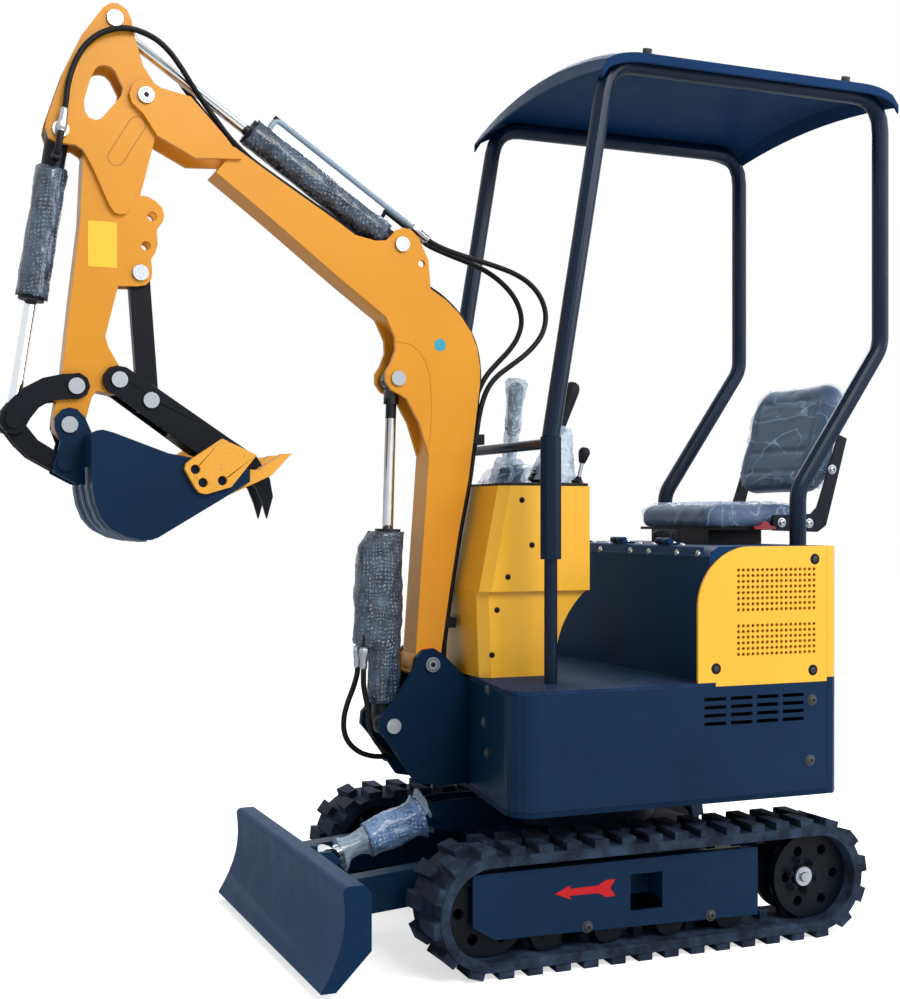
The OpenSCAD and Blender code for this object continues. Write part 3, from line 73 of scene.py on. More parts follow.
# Hoses, in metres: the routes of the part's source
HOSE_R = 0.007
ARM_LOOP_A = [(.438, .015, 1.7845), (.417, .015, 1.771), (.380, .015, 1.757), (.330, .015, 1.744),
              (.280, .015, 1.733), (.230, .016, 1.721), (.185, .017, 1.707), (.145, .018, 1.686),
              (.115, .020, 1.656), (.098, .021, 1.620), (.096, .022, 1.584), (.108, .024, 1.549),
              (.132, .025, 1.517), (.165, .026, 1.487), (.204, .027, 1.459), (.240, .027, 1.432),
              (.266, .027, 1.400), (.282, .027, 1.362), (.292, .027, 1.322), (.298, .027, 1.285)]
ARM_LOOP_B = [(.438, -.015, 1.7845), (.417, -.015, 1.771), (.380, -.015, 1.757), (.335, -.015, 1.743),
              (.290, -.015, 1.729), (.246, -.016, 1.711), (.206, -.017, 1.686), (.172, -.019, 1.654),
              (.151, -.021, 1.617), (.146, -.023, 1.579), (.158, -.025, 1.541), (.182, -.026, 1.507),
              (.214, -.027, 1.474), (.245, -.027, 1.440), (.267, -.027, 1.402), (.282, -.027, 1.362),
              (.292, -.027, 1.322), (.298, -.027, 1.285)]
BUCKET_RUN = [(1.3545, .064, 1.9975), (1.3505, .064, 2.023), (1.345, .063, 2.066), (1.331, .062, 2.114),
              (1.308, .062, 2.157), (1.275, .062, 2.189), (1.238, .061, 2.207), (1.202, .057, 2.213),
              (1.166, .050, 2.209), (1.132, .044, 2.196), (1.101, .038, 2.172), (1.073, .033, 2.139),
              (1.045, .028, 2.101), (1.013, .022, 2.061), (.980, .017, 2.022), (.944, .013, 1.983),
              (.900, .010, 1.946), (.853, .009, 1.916), (.793, .009, 1.880), (.733, .009, 1.844),
              (.673, .009, 1.808), (.613, .009, 1.769), (.554, .009, 1.730), (.490, .009, 1.693),
              (.430, .009, 1.658), (.385, .009, 1.630), (.346, .009, 1.594), (.312, .009, 1.547),
              (.294, .009, 1.505), (.2855, .009, 1.456), (.285, .009, 1.410), (.289, .009, 1.375),
              (.293, .009, 1.340)]
FOOT_RUN = [(.2931, 1.3392), (.297, 1.305), (.307, 1.235), (.318, 1.160), (.331, 1.095), (.344, 1.030),
            (.357, .957), (.369, .885), (.381, .802), (.390, .735), (.391, .690), (.390, .650),
            (.386, .618), (.376, .594), (.359, .581), (.341, .580)]
LIFT_RUN_A = [(.609, .6885), (.610, .662), (.621, .625), (.635, .590), (.645, .553), (.645, .516),
              (.632, .486), (.606, .462), (.574, .449), (.540, .445), (.500, .446), (.450, .448),
              (.400, .450), (.365, .450), (.341, .450)]
LIFT_RUN_B = [(.609, .6885), (.6095, .662), (.609, .636), (.604, .608), (.598, .580), (.594, .549),
              (.588, .518), (.572, .488), (.545, .465), (.510, .453), (.465, .450), (.420, .450),
              (.375, .450), (.341, .450)]
FOOT_FROM = 2
HOSE_STEPS = 6


def at_y(run, y):
    return [(x, y, z) for x, z in run]


def flip(run):
    return [(x, -y, z) for x, y, z in run]


def smooth_run(run):
    """The source's smooth curve through the points of a route."""
    run = [Vector(point) for point in run]
    last = len(run) - 1
    out = []
    for i in range(last):
        a, b, c, d = run[max(0, i - 1)], run[i], run[i + 1], run[min(last, i + 2)]
        for k in range(HOSE_STEPS):
            t = k / HOSE_STEPS
            out.append(((2 * b) + (c - a) * t + (2 * a - 5 * b + 4 * c - d) * t ** 2
                        + (3 * b - a - 3 * c + d) * t ** 3) / 2)
    return out + [run[last]]


def evaluated(obj):
    return obj.evaluated_get(bpy.context.evaluated_depsgraph_get())


def tube(name, points, radius, closed=False):
    """A round tube along the points, made from a curve."""
    line = bpy.data.curves.new(name, "CURVE")
    line.dimensions = "3D"
    line.bevel_depth = radius
    line.bevel_resolution = 3
    line.use_fill_caps = not closed
    spline = line.splines.new("POLY")
    spline.points.add(len(points) - 1)
    spline.use_cyclic_u = closed
    for place, point in zip(spline.points, points):
        place.co = (*point, 1.0)
    holder = link(bpy.data.objects.new(name, line))
    mesh = bpy.data.meshes.new_from_object(evaluated(holder))
    bpy.data.objects.remove(holder)
    bpy.data.curves.remove(line)
    mesh.name = name
    mesh.polygons.foreach_set("use_smooth", [True] * len(mesh.polygons))
    return link(bpy.data.objects.new(name, mesh))


# Each hose: its route, the two bodies that it joins, and the start and end of the free stretch between them
FOOT_BEND = ("house", "boom", (.36, 0, .585), (.39, 0, .72))
BUCKET_BEND = ("arm", "boom", (1.25, 0, 2.20), (.93, 0, 1.97))
LIFT_BEND = ("house", "boom_cylinder", (.40, 0, .45), (.609, 0, .68))
HOSES = {
    "hose_arm_a": (ARM_LOOP_A + at_y(FOOT_RUN[FOOT_FROM:], .027), FOOT_BEND),
    "hose_arm_b": (ARM_LOOP_B + at_y(FOOT_RUN[FOOT_FROM:], -.027), FOOT_BEND),
    "hose_bucket_a": (BUCKET_RUN, BUCKET_BEND),
    "hose_bucket_b": (flip(BUCKET_RUN), BUCKET_BEND),
    "hose_foot_a": (at_y(FOOT_RUN, .009), FOOT_BEND),
    "hose_foot_b": (at_y(FOOT_RUN, -.009), FOOT_BEND),
    "hose_lift_a": (at_y(LIFT_RUN_A, -.024), LIFT_BEND),
    "hose_lift_b": (at_y(LIFT_RUN_B, .024), LIFT_BEND),
}
hose_pieces = []
for node, (run, (body_a, body_b, start, end)) in HOSES.items():
    points = smooth_run(run)
    hose = tube("rubber_" + node, points, HOSE_R)
    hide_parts(node)
    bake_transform(hose)
    hose_pieces.append(hose)


# Materials
def lin(hex_colour):
    """sRGB hex to a linear RGBA colour."""
    parts = [int(hex_colour[i:i + 2], 16) / 255 for i in (1, 3, 5)]
    return tuple(v / 12.92 if v <= 0.04045 else ((v + 0.055) / 1.055) ** 2.4 for v in parts) + (1.0,)


def per_mm(size):
    """The scale at which a pattern's features are size millimetres across."""
    return 1000.0 / size


# The sockets of a colour mix, which is the one node here whose result isn't its first output
SHARE, FIRST, SECOND, MIXED = 0, 6, 7, 2


def feed(tree, node, inputs):
    """Sets inputs: a node or socket is linked, and any other value is set."""
    for key, value in inputs.items():
        if isinstance(value, bpy.types.Node):
            value = value.outputs[MIXED if value.bl_idname == "ShaderNodeMix" else 0]
        if isinstance(value, bpy.types.NodeSocket):
            tree.links.new(value, node.inputs[key])
        else:
            node.inputs[key].default_value = value


def add(tree, kind, inputs=None, **settings):
    """Adds a node with its settings and links."""
    made = tree.nodes.new(kind)
    for key, value in settings.items():
        setattr(made, key, value)
    feed(tree, made, inputs or {})
    return made


def surface(name):
    made = bpy.data.materials.new(name)
    made.use_nodes = True
    tree = made.node_tree
    place = add(tree, "ShaderNodeTexCoord").outputs["Object"]
    return made, tree, tree.nodes["Principled BSDF"], place


def patchy(tree, place, size_mm, detail, rough, clear, full, first, second):
    """A noise pattern, and two colours mixed by it: the first up to clear, the second from full on."""
    pattern = add(tree, "ShaderNodeTexNoise", {"Vector": place, "Scale": per_mm(size_mm), "Detail": detail,
                                               "Roughness": rough})
    share = add(tree, "ShaderNodeMapRange", {"Value": pattern, "From Min": clear, "From Max": full})
    return pattern, add(tree, "ShaderNodeMix", {SHARE: share, FIRST: lin(first), SECOND: lin(second)},
                        data_type="RGBA")


def grained(tree, place, grain_mm, detail, deep):
    """The bump of a skin with a fine grain."""
    grain = add(tree, "ShaderNodeTexNoise", {"Vector": place, "Scale": per_mm(grain_mm), "Detail": detail})
    return add(tree, "ShaderNodeBump", {"Height": grain, "Distance": deep})


def sprayed_enamel(name, main, shade, rough, coat=0.0, dust=0.0, level=0.5, ends=None):
    # Enamel sprayed on steel plate: an even colour that drifts a little over 300 mm, orange peel of about
    # 3 mm in the highlights, smears where hands and rain went over it, and dry dust low down
    made, tree, shader, place = surface(name)
    _, paint = patchy(tree, place, 310, 3.0, 0.5, 0.32, 0.68, main, shade)
    height = add(tree, "ShaderNodeSeparateXYZ", {"Vector": place})
    low = add(tree, "ShaderNodeMapRange", {"Value": height.outputs["Z"], "From Min": 0.05, "From Max": 0.75,
                                           "To Min": dust, "To Max": dust * 0.1})
    specks = add(tree, "ShaderNodeTexNoise", {"Vector": place, "Scale": per_mm(26), "Detail": 5.0,
                                              "Roughness": 0.7})
    spots = add(tree, "ShaderNodeMapRange", {"Value": specks, "From Min": 0.48, "From Max": 0.72})
    share = add(tree, "ShaderNodeMath", {0: low, 1: spots}, operation="MULTIPLY")
    if ends:
        # Darker plates on both ends, beyond a distance from the middle: the ends carry the plain colour, and
        # the lighter main colour between them is painted light on the blade's front face
        colour, from_y = ends
        out = add(tree, "ShaderNodeMath", {0: height.outputs["Y"]}, operation="ABSOLUTE")
        outer = add(tree, "ShaderNodeMath", {0: out, 1: from_y}, operation="GREATER_THAN")
        paint = add(tree, "ShaderNodeMix", {SHARE: outer, FIRST: paint, SECOND: lin(colour)},
                    data_type="RGBA")
    dusty = add(tree, "ShaderNodeMix", {SHARE: share, FIRST: paint, SECOND: lin("#77746C")}, data_type="RGBA")
    smear = add(tree, "ShaderNodeTexNoise", {"Vector": place, "Scale": per_mm(70), "Detail": 4.0})
    gloss = add(tree, "ShaderNodeMapRange", {"Value": smear, "From Min": 0.3, "From Max": 0.7,
                                             "To Min": rough * 0.92, "To Max": rough * 1.1})
    peel = grained(tree, place, 3.0, 2.0, 0.00012)
    feed(tree, shader, {"Base Color": dusty, "Roughness": gloss, "Normal": peel, "Coat Weight": coat,
                        "Coat Roughness": 0.12, "Specular IOR Level": level})
    return made


def worn_enamel(name, main, bare, rough):
    # Enamel rubbed off where it digs and slides: paint with scratched patches of 20 mm down to the steel
    made, tree, shader, place = surface(name)
    scuff, paint = patchy(tree, place, 20, 6.0, 0.72, 0.6, 0.7, main, bare)
    gloss = add(tree, "ShaderNodeMapRange", {"Value": scuff, "From Min": 0.3, "From Max": 0.7,
                                             "To Min": rough * 0.85, "To Max": rough * 1.25})
    cast = grained(tree, place, 4.0, 3.0, 0.0004)
    feed(tree, shader, {"Base Color": paint, "Roughness": gloss, "Normal": cast})
    return made


def plated_steel(name, bright, dull, rough, marks_mm, black_above=None):
    # Plated steel: a bright metal with soft clouding over 40 mm and fine turning marks; black paint on the
    # eye above a height where the rod has one
    made, tree, shader, place = surface(name)
    cloud, colour = patchy(tree, place, 40, 4.0, 0.5, 0.3, 0.7, bright, dull)
    metal = 1.0
    if black_above is not None:
        height = add(tree, "ShaderNodeSeparateXYZ", {"Vector": place})
        metal = add(tree, "ShaderNodeMath", {0: height.outputs["Z"], 1: black_above}, operation="LESS_THAN")
        colour = add(tree, "ShaderNodeMix", {SHARE: metal, FIRST: lin("#0A0F18"), SECOND: colour},
                     data_type="RGBA")
    gloss = add(tree, "ShaderNodeMapRange", {"Value": cloud, "From Min": 0.3, "From Max": 0.7,
                                             "To Min": rough * 0.75, "To Max": rough * 1.35})
    marks = grained(tree, place, marks_mm, 2.0, 0.00005)
    feed(tree, shader, {"Base Color": colour, "Metallic": metal, "Roughness": gloss, "Normal": marks})
    return made


def moulded_rubber(name, main, worn, pebble_mm, deep_mm, rough):
    # Black rubber pressed in a mould: a fine pebbled skin, with greyer patches where it is scuffed and dry
    made, tree, shader, place = surface(name)
    scuff, tone = patchy(tree, place, 62, 5.0, 0.65, 0.42, 0.72, main, worn)
    gloss = add(tree, "ShaderNodeMapRange", {"Value": scuff, "From Min": 0.3, "From Max": 0.7,
                                             "To Min": rough - 0.12, "To Max": rough + 0.1})
    pebble = grained(tree, place, pebble_mm, 3.0, deep_mm / 1000)
    feed(tree, shader, {"Base Color": tone, "Roughness": gloss, "Normal": pebble, "Specular IOR Level": 0.2})
    return made


def coated_cloth(name, main, shade):
    # Seat cover of coated cloth: a cell grain, drawn at 3 mm so that it shows, over soft creases of 30 mm
    # that are painted darker in their hollows and lighter on their rises as painted shade and light
    made, tree, shader, place = surface(name)
    cells = add(tree, "ShaderNodeTexVoronoi", {"Vector": place, "Scale": per_mm(3.0)})
    # The colour follows the creases: painted shade in their hollows, painted light on their rises
    crease, tone = patchy(tree, place, 30, 4.0, 0.6, 0.35, 0.68, main, shade)
    gloss = add(tree, "ShaderNodeMapRange", {"Value": crease, "From Min": 0.3, "From Max": 0.7,
                                             "To Min": 0.42, "To Max": 0.62})
    both = add(tree, "ShaderNodeMath", {0: cells, 1: crease}, operation="ADD")
    bump = add(tree, "ShaderNodeBump", {"Height": both, "Distance": 0.0005})
    feed(tree, shader, {"Base Color": tone, "Roughness": gloss, "Normal": bump, "Sheen Weight": 0.12})
    return made


def wrapping_film(name, tint, thin, thick, fold_mm):
    # Thin polythene film left on from the works: nearly clear, with milky folds that are partly the film's
    # own whitening and partly painted sheen, and thin pale creases that are painted highlights
    made, tree, shader, place = surface(name)
    drawn = add(tree, "ShaderNodeMapping", {"Vector": place, "Rotation": (0.5, 0.3, 0.2),
                                            "Scale": (1.0, 0.35, 0.8)})
    folds = add(tree, "ShaderNodeTexNoise", {"Vector": drawn, "Scale": per_mm(fold_mm), "Detail": 4.0,
                                             "Roughness": 0.58, "Distortion": 0.9})
    # Milky folds: the film's own whitening and painted sheen
    milky_and_sheen = add(tree, "ShaderNodeMapRange", {"Value": folds, "From Min": 0.54, "From Max": 0.76,
                                             "To Min": thin, "To Max": thick})
    # Thin pale lines along the long folds: painted highlights
    long_folds = add(tree, "ShaderNodeTexNoise", {"Vector": drawn, "Scale": per_mm(fold_mm * 1.5),
                                                  "Detail": 1.8, "Distortion": 0.5})
    level = add(tree, "ShaderNodeMath", {0: long_folds, 1: 0.5}, operation="SUBTRACT")
    near = add(tree, "ShaderNodeMath", {0: level}, operation="ABSOLUTE")
    crease = add(tree, "ShaderNodeMapRange", {"Value": near, "From Min": 0.002, "From Max": 0.016,
                                              "To Min": thick, "To Max": thin})
    cover = add(tree, "ShaderNodeMath", {0: milky_and_sheen, 1: crease}, operation="MAXIMUM")
    bump = add(tree, "ShaderNodeBump", {"Height": folds, "Distance": 0.006})
    feed(tree, shader, {"Base Color": lin(tint), "Alpha": cover, "Roughness": 0.2, "Normal": bump,
                        "Specular IOR Level": 0.4})
    return made


def bubble_wrap(name, dark, light, bright):
    # Bubble film wound round a cylinder: domes 10 mm apart with a painted highlight on each, in uneven folds
    # whose darker tone lightens where the folds rise, as painted highlights
    made, tree, shader, place = surface(name)
    wander = add(tree, "ShaderNodeTexNoise", {"Vector": place, "Scale": per_mm(110), "Detail": 2.0})
    shifted = add(tree, "ShaderNodeVectorMath", {0: wander.outputs["Color"], 1: (0.05, 0.05, 0.05)},
                  operation="MULTIPLY")
    moved = add(tree, "ShaderNodeVectorMath", {0: place, 1: shifted}, operation="ADD")
    dots = add(tree, "ShaderNodeTexVoronoi", {"Vector": moved, "Scale": per_mm(10), "Randomness": 0.3})
    dome = add(tree, "ShaderNodeMapRange", {"Value": dots, "From Min": 0.1, "From Max": 0.55,
                                            "To Min": 1.0, "To Max": 0.0})
    # Darker tone, lighter where the folds rise: painted highlights
    crease, tone = patchy(tree, place, 42, 5.0, 0.65, 0.36, 0.66, dark, light)
    # A painted highlight on each dome
    spot = add(tree, "ShaderNodeMapRange", {"Value": dots, "From Min": 0.12, "From Max": 0.34,
                                            "To Min": 0.65, "To Max": 0.0})
    highlighted = add(tree, "ShaderNodeMix", {SHARE: spot, FIRST: tone, SECOND: lin(bright)}, data_type="RGBA")
    both = add(tree, "ShaderNodeMath", {0: dome, 1: crease}, operation="ADD")
    bump = add(tree, "ShaderNodeBump", {"Height": both, "Distance": 0.0024})
    feed(tree, shader, {"Base Color": highlighted, "Roughness": 0.24, "Normal": bump, "Coat Weight": 0.5,
                        "Coat Roughness": 0.1})
    return made


def studded_mat(name, main, worn):
    # Rubber floor mat: round studs 14 mm apart, greyer where boots have been
    made, tree, shader, place = surface(name)
    studs = add(tree, "ShaderNodeTexVoronoi", {"Vector": place, "Scale": per_mm(14), "Randomness": 0.0})
    raised = add(tree, "ShaderNodeMapRange", {"Value": studs, "From Min": 0.28, "From Max": 0.4,
                                              "To Min": 1.0, "To Max": 0.0})
    _, tone = patchy(tree, place, 110, 5.0, 0.65, 0.4, 0.7, main, worn)
    bump = add(tree, "ShaderNodeBump", {"Height": raised, "Distance": 0.0016})
    feed(tree, shader, {"Base Color": tone, "Roughness": 0.66, "Normal": bump, "Specular IOR Level": 0.12})
    return made


# Vinyl and painted cast iron take the look of sprayed enamel: flat colour, nearly smooth
FINISHES = {
    "boom_yellow": sprayed_enamel("sprayed_enamel_boom_yellow", "#DD962A", "#D79128", 0.36, coat=0.04,
                                  level=0.22),
    # A darker copy of the boom yellow: painted shade
    "boom_painted_shade": sprayed_enamel("sprayed_enamel_boom_painted_shade", "#B97F26", "#B07823", 0.4),
    "panel_yellow": sprayed_enamel("sprayed_enamel_panel_yellow", "#F2B62C", "#EEB029", 0.34, coat=0.15),
    "navy": sprayed_enamel("sprayed_enamel_navy", "#0C2A49", "#0A2541", 0.38, dust=0.03, level=0.1),
    "navy_dark": sprayed_enamel("sprayed_enamel_dark_navy", "#0A2440", "#081F38", 0.42, dust=0.03,
                                level=0.06),
    "post_navy": sprayed_enamel("sprayed_enamel_post_navy", "#081E36", "#07192E", 0.30, level=0.2),
    "hood_navy": sprayed_enamel("sprayed_enamel_hood_navy", "#103760", "#0D2F54", 0.42, dust=0.02,
                                level=0.05),
    "roof_navy": sprayed_enamel("sprayed_enamel_roof_navy", "#0D315A", "#0B2B50", 0.44, level=0.05),
    "black": sprayed_enamel("sprayed_enamel_black", "#060D18", "#050A12", 0.42, level=0.15),
    # The blade: its front a lighter blue as painted light, its end plates the plain navy
    "blade_painted_light_blue": sprayed_enamel("sprayed_enamel_blade_painted_light_blue", "#24466E", "#203F64", 0.46, dust=0.03,
                                 level=0.06, ends=("#0E2C4C", 0.4715)),
    "barrel": sprayed_enamel("sprayed_enamel_barrel_grey", "#10161E", "#0D1218", 0.42, level=0.2),
    "red": sprayed_enamel("vinyl_cut_red", "#C41A22", "#B8171F", 0.42, level=0.2),
    "sticker": sprayed_enamel("vinyl_cut_blue", "#2AA0B8", "#2698B0", 0.34),
    "label": sprayed_enamel("vinyl_cut_yellow", "#F4C61E", "#EFC01A", 0.38),
    "red_grip": sprayed_enamel("dipped_vinyl_red", "#A01822", "#8E141D", 0.40),
    "iron": sprayed_enamel("cast_iron_painted", "#3A3F44", "#2C3035", 0.60),
    "tooth_yellow": worn_enamel("worn_enamel_tooth_yellow", "#E4A12C", "#8B7B58", 0.46),
    "hood_trim": sprayed_enamel("sprayed_enamel_hood_trim", "#27497A", "#224170", 0.40, level=0.08),
    "pipe": sprayed_enamel("sprayed_enamel_pipe_grey", "#8FA3BA", "#7F93AA", 0.35),
    "rib_steel": worn_enamel("worn_enamel_bucket_rib", "#6F7F95", "#A7AFBA", 0.5),
    "chrome": plated_steel("chrome_plated_steel", "#E6EAEE", "#D8DEE4", 0.10, 1.4),
    "lift_rod": plated_steel("chrome_plated_steel_lift_rod", "#E6EAEE", "#D8DEE4", 0.10, 1.4,
                             black_above=1.316),
    "zinc": plated_steel("zinc_plated_steel", "#B9BFC7", "#9FA6AF", 0.28, 1.2),
    "track": moulded_rubber("moulded_track_rubber", "#0F1827", "#34445E", 4.0, 0.6, 0.78),
    "hose": moulded_rubber("extruded_hose_rubber", "#04060A", "#0A0D13", 2.0, 0.2, 0.48),
    "grip": moulded_rubber("moulded_grip_rubber", "#090C12", "#12161E", 1.7, 0.3, 0.58),
    "mat": studded_mat("moulded_mat_rubber", "#0C2444", "#1C375C"),
    "cloth": coated_cloth("coated_seat_cloth", "#12294A", "#1B3A64"),
    "film": wrapping_film("polythene_film", "#9DBDE6", 0.20, 0.62, 60),
    "tuft": wrapping_film("polythene_film_folded", "#BFD6F0", 0.42, 0.95, 26),
    "bubble": bubble_wrap("bubble_film_grey", "#152231", "#485C74", "#8494A8"),
    "bubble_white": bubble_wrap("bubble_film_pale", "#4674B0", "#8FB6E8", "#E6F1FF"),
}
NODE_FINISH = {
    "navy": ["track_frames", "skirts", "counterweight", "bucket", "blade_arms"],
    "hood_navy": ["hood"],
    "roof_navy": ["roof"],
    "navy_dark": ["car_body", "slew_ring", "deck", "boom_bracket", "seat_deck"],
    "post_navy": ["canopy_frame"],
    "black": ["track_wheels", "rollers", "seat_frame", "thumb", "rocker", "link"],
    "blade_painted_light_blue": ["blade"],
    "boom_yellow": ["boom", "arm"],
    "panel_yellow": ["side_panels", "rear_cover", "console"],
    "tooth_yellow": ["teeth"],
    "zinc": ["house_pins", "boom_pins", "arm_pins"],
    "chrome": ["arm_rod", "bucket_rod", "blade_rod"],
    "lift_rod": ["boom_rod"],
    "barrel": ["boom_barrel", "arm_barrel", "bucket_barrel", "blade_barrel"],
    "track": ["track_left", "track_right"],
    "mat": ["floor_plate"],
    "iron": ["engine"],
    "grip": ["levers"],
    "cloth": ["seat_cushion", "seat_back"],
    "hose": list(HOSES),
}
USUAL_EDGE_MM = 1.6
EDGE_MM = {"side_panels": 1.0, "track_left": 2.0, "track_right": 2.0, "canopy_frame": 0.0, "blade": 4.0,
           "roof": 3.0}
WELD_WITHIN = 0.00002
EDGE_ANGLE = math.radians(32)


def dress(obj, finish):
    obj.data.materials.clear()
    obj.data.materials.append(FINISHES[finish])


for finish, nodes in NODE_FINISH.items():
    for name in nodes:
        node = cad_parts[name]
        dress(node, finish)
        edge = 0.0 if name in HOSES else EDGE_MM.get(name, USUAL_EDGE_MM) / 1000
        if edge:
            weld = node.modifiers.new("weld", "WELD")
            weld.merge_threshold = WELD_WITHIN
            bevel = node.modifiers.new("edges", "BEVEL")
            bevel.width = edge
            bevel.segments = 2
            bevel.limit_method = "ANGLE"
            bevel.angle_limit = EDGE_ANGLE
            bevel.harden_normals = True
for hose in hose_pieces:
    dress(hose, "hose")

# Places on the solids: where a line meets a node, and what the photograph's pixel shows of it
skins = {}
UP, DOWN, FORWARD, BACKWARD, LEFT, RIGHT = (Vector(way) for way in (
    (0, 0, 1), (0, 0, -1), (1, 0, 0), (-1, 0, 0), (0, 1, 0), (0, -1, 0)))
OUTSIDE = 1.0


def touch(node, start, way):
    """Where a line first meets a node, and the way its surface faces there."""
    if node not in skins:
        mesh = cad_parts[node].data
        skins[node] = BVHTree.FromPolygons([v.co for v in mesh.vertices], [p.vertices for p in mesh.polygons])
    hit, facing, _, _ = skins[node].ray_cast(Vector(start), Vector(way))
    if hit is None:
        raise ValueError(f"no {node} on the line from {tuple(start)} along {tuple(way)}")
    return hit, facing


def shown(node, px, py):
    """The place on a node that a pixel of the photograph shows."""
    turn = Matrix.Rotation(CAMERA_YAW, 3, "Z")
    way = turn @ Vector(((px - PHOTO[0] / 2 + CENTRE_OFF_PX[0]) / FOCAL_PX, 1.0,
                         -(py - PHOTO[1] / 2 - CENTRE_OFF_PX[1]) / FOCAL_PX))
    return touch(node, CAMERA_AT, way.normalized())


def on_side(node, x, z):
    """The place that a node's left side has at a place of the side view."""
    return touch(node, (x, OUTSIDE, z), RIGHT)


def both_sides(spots):
    """The places and their mirror images across the machine's middle."""
    return [(Vector((a.x, s * a.y, a.z)), Vector((w.x, s * w.y, w.z))) for a, w in spots for s in (1, -1)]


# Pieces
def on(at, way):
    return Matrix.Translation(at) @ Vector(way).to_track_quat("Z", "Y").to_matrix().to_4x4()


def join(target, part):
    held = bpy.data.meshes.new("held")
    part.to_mesh(held)
    part.free()
    target.from_mesh(held)
    bpy.data.meshes.remove(held)


def edges_of(verts):
    return list({e for v in verts for e in v.link_edges})


def verts_in(geom):
    return [v for v in geom if isinstance(v, bmesh.types.BMVert)]


def round_off(part, edges, offset, segments=2):
    bmesh.ops.bevel(part, geom=edges, offset=offset, segments=segments, profile=0.5, affect="EDGES",
                    material=-1)


def turned(target, outline, at, way, steps=24, stretch=(1, 1, 1)):
    """A turned shape from its outline of radius and height, standing at a place."""
    part = bmesh.new()
    verts = [part.verts.new((r, 0, z)) for r, z in outline]
    edges = [part.edges.new(pair) for pair in zip(verts, verts[1:])]
    bmesh.ops.spin(part, geom=verts + edges, cent=(0, 0, 0), axis=(0, 0, 1), angle=2 * math.pi, steps=steps,
                   use_merge=True)
    bmesh.ops.remove_doubles(part, verts=part.verts, dist=1e-6)
    bmesh.ops.recalc_face_normals(part, faces=part.faces)
    bmesh.ops.transform(part, matrix=on(at, way) @ Matrix.Diagonal((*stretch, 1)), verts=part.verts)
    join(target, part)


def hex_bolt(target, at, way, wide):
    """A hexagon head on a washer; its sizes are shares of the washer's radius."""
    part = bmesh.new()
    bmesh.ops.create_cone(part, cap_ends=True, segments=18, radius1=wide, radius2=wide * 0.92,
                          depth=wide * 0.2, matrix=Matrix.Translation((0, 0, wide * 0.08)))
    head = bmesh.ops.create_cone(part, cap_ends=True, segments=6, radius1=wide * 0.6, radius2=wide * 0.6,
                                 depth=wide * 0.62, matrix=Matrix.Translation((0, 0, wide * 0.48)))
    round_off(part, edges_of(head["verts"]), wide * 0.07)
    bmesh.ops.transform(part, matrix=on(at, way), verts=part.verts)
    join(target, part)


# A button head with its socket, on a washer, as shares of the head's radius
BUTTON = [(0, 0.30), (0.36, 0.30), (0.42, 0.66), (0.72, 0.56), (0.94, 0.34), (1, 0.12), (1.3, 0.1),
          (1.3, -0.05)]


def button_bolt(target, at, way, r):
    turned(target, [(a * r, b * r) for a, b in BUTTON], at, way, 18)


def flat_plate(target, corners, thick, matrix, edge=0.0):
    """A plate from the corners of its outline, lifted off the surface by its thickness."""
    part = bmesh.new()
    face = part.faces.new([part.verts.new((x, y, 0)) for x, y in corners])
    top = verts_in(bmesh.ops.extrude_face_region(part, geom=[face])["geom"])
    bmesh.ops.translate(part, verts=top, vec=(0, 0, thick))
    if edge:
        round_off(part, [e for e in part.edges if e.verts[0] in top and e.verts[1] in top], edge)
    bmesh.ops.transform(part, matrix=matrix, verts=part.verts)
    bmesh.ops.recalc_face_normals(part, faces=part.faces)
    join(target, part)


def side_face(at, side=1):
    """Lays a plate in the side view: its x along the machine, its y up, its thickness to a side."""
    return Matrix(((1, 0, 0, at[0]), (0, 0, side, at[1]), (0, 1, 0, at[2]), (0, 0, 0, 1)))


def fit_piece(name, part, body, finish, soft_angle=40, replaces=(), stretch=None):
    """The finished piece: its mesh, shading and material, riding on its body, or left fixed where it is when
    stretch is given.
    """
    mesh = bpy.data.meshes.new(name)
    part.to_mesh(mesh)
    part.free()
    mesh.polygons.foreach_set("use_smooth", [True] * len(mesh.polygons))
    mesh.set_sharp_from_angle(angle=math.radians(soft_angle))
    piece = link(bpy.data.objects.new(name, mesh))
    mesh.materials.append(FINISHES[finish])
    if stretch:
        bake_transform(piece)
    else:
        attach(piece, body)
    if replaces:
        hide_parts(*replaces)
    return piece


def bolts(name, body, finish, spots, size, head=button_bolt):
    part = bmesh.new()
    for at, way in spots:
        head(part, at, way, size)
    fit_piece(name, part, body, finish)


# Side view places of the main pins
FOOT, TIP = Vector((.444, 0, .688)), Vector((1.16475, 0, 2.05975))
BOOM_BASE, BOOM_ROD = Vector((.5494, 0, .53765)), Vector((.5246, 0, 1.41495))
ARM_BASE, ARM_ROD = Vector((.51375, 0, 1.75595)), Vector((1.2352, 0, 2.2366))
BUCKET_BASE, ROD_END = Vector((1.360, 0, 1.963)), Vector((1.4655, 0, 1.2854))
BLADE_BASE, BLADE_ROD = Vector((.420, 0, .296)), Vector((.700, 0, .205))
BUCKET_PIN = Vector((1.33995, 0, 1.27735))
BOOM_L = 1.55
SLEEVE_STEP = 0.010
SLEEVE_WALL = 0.0016


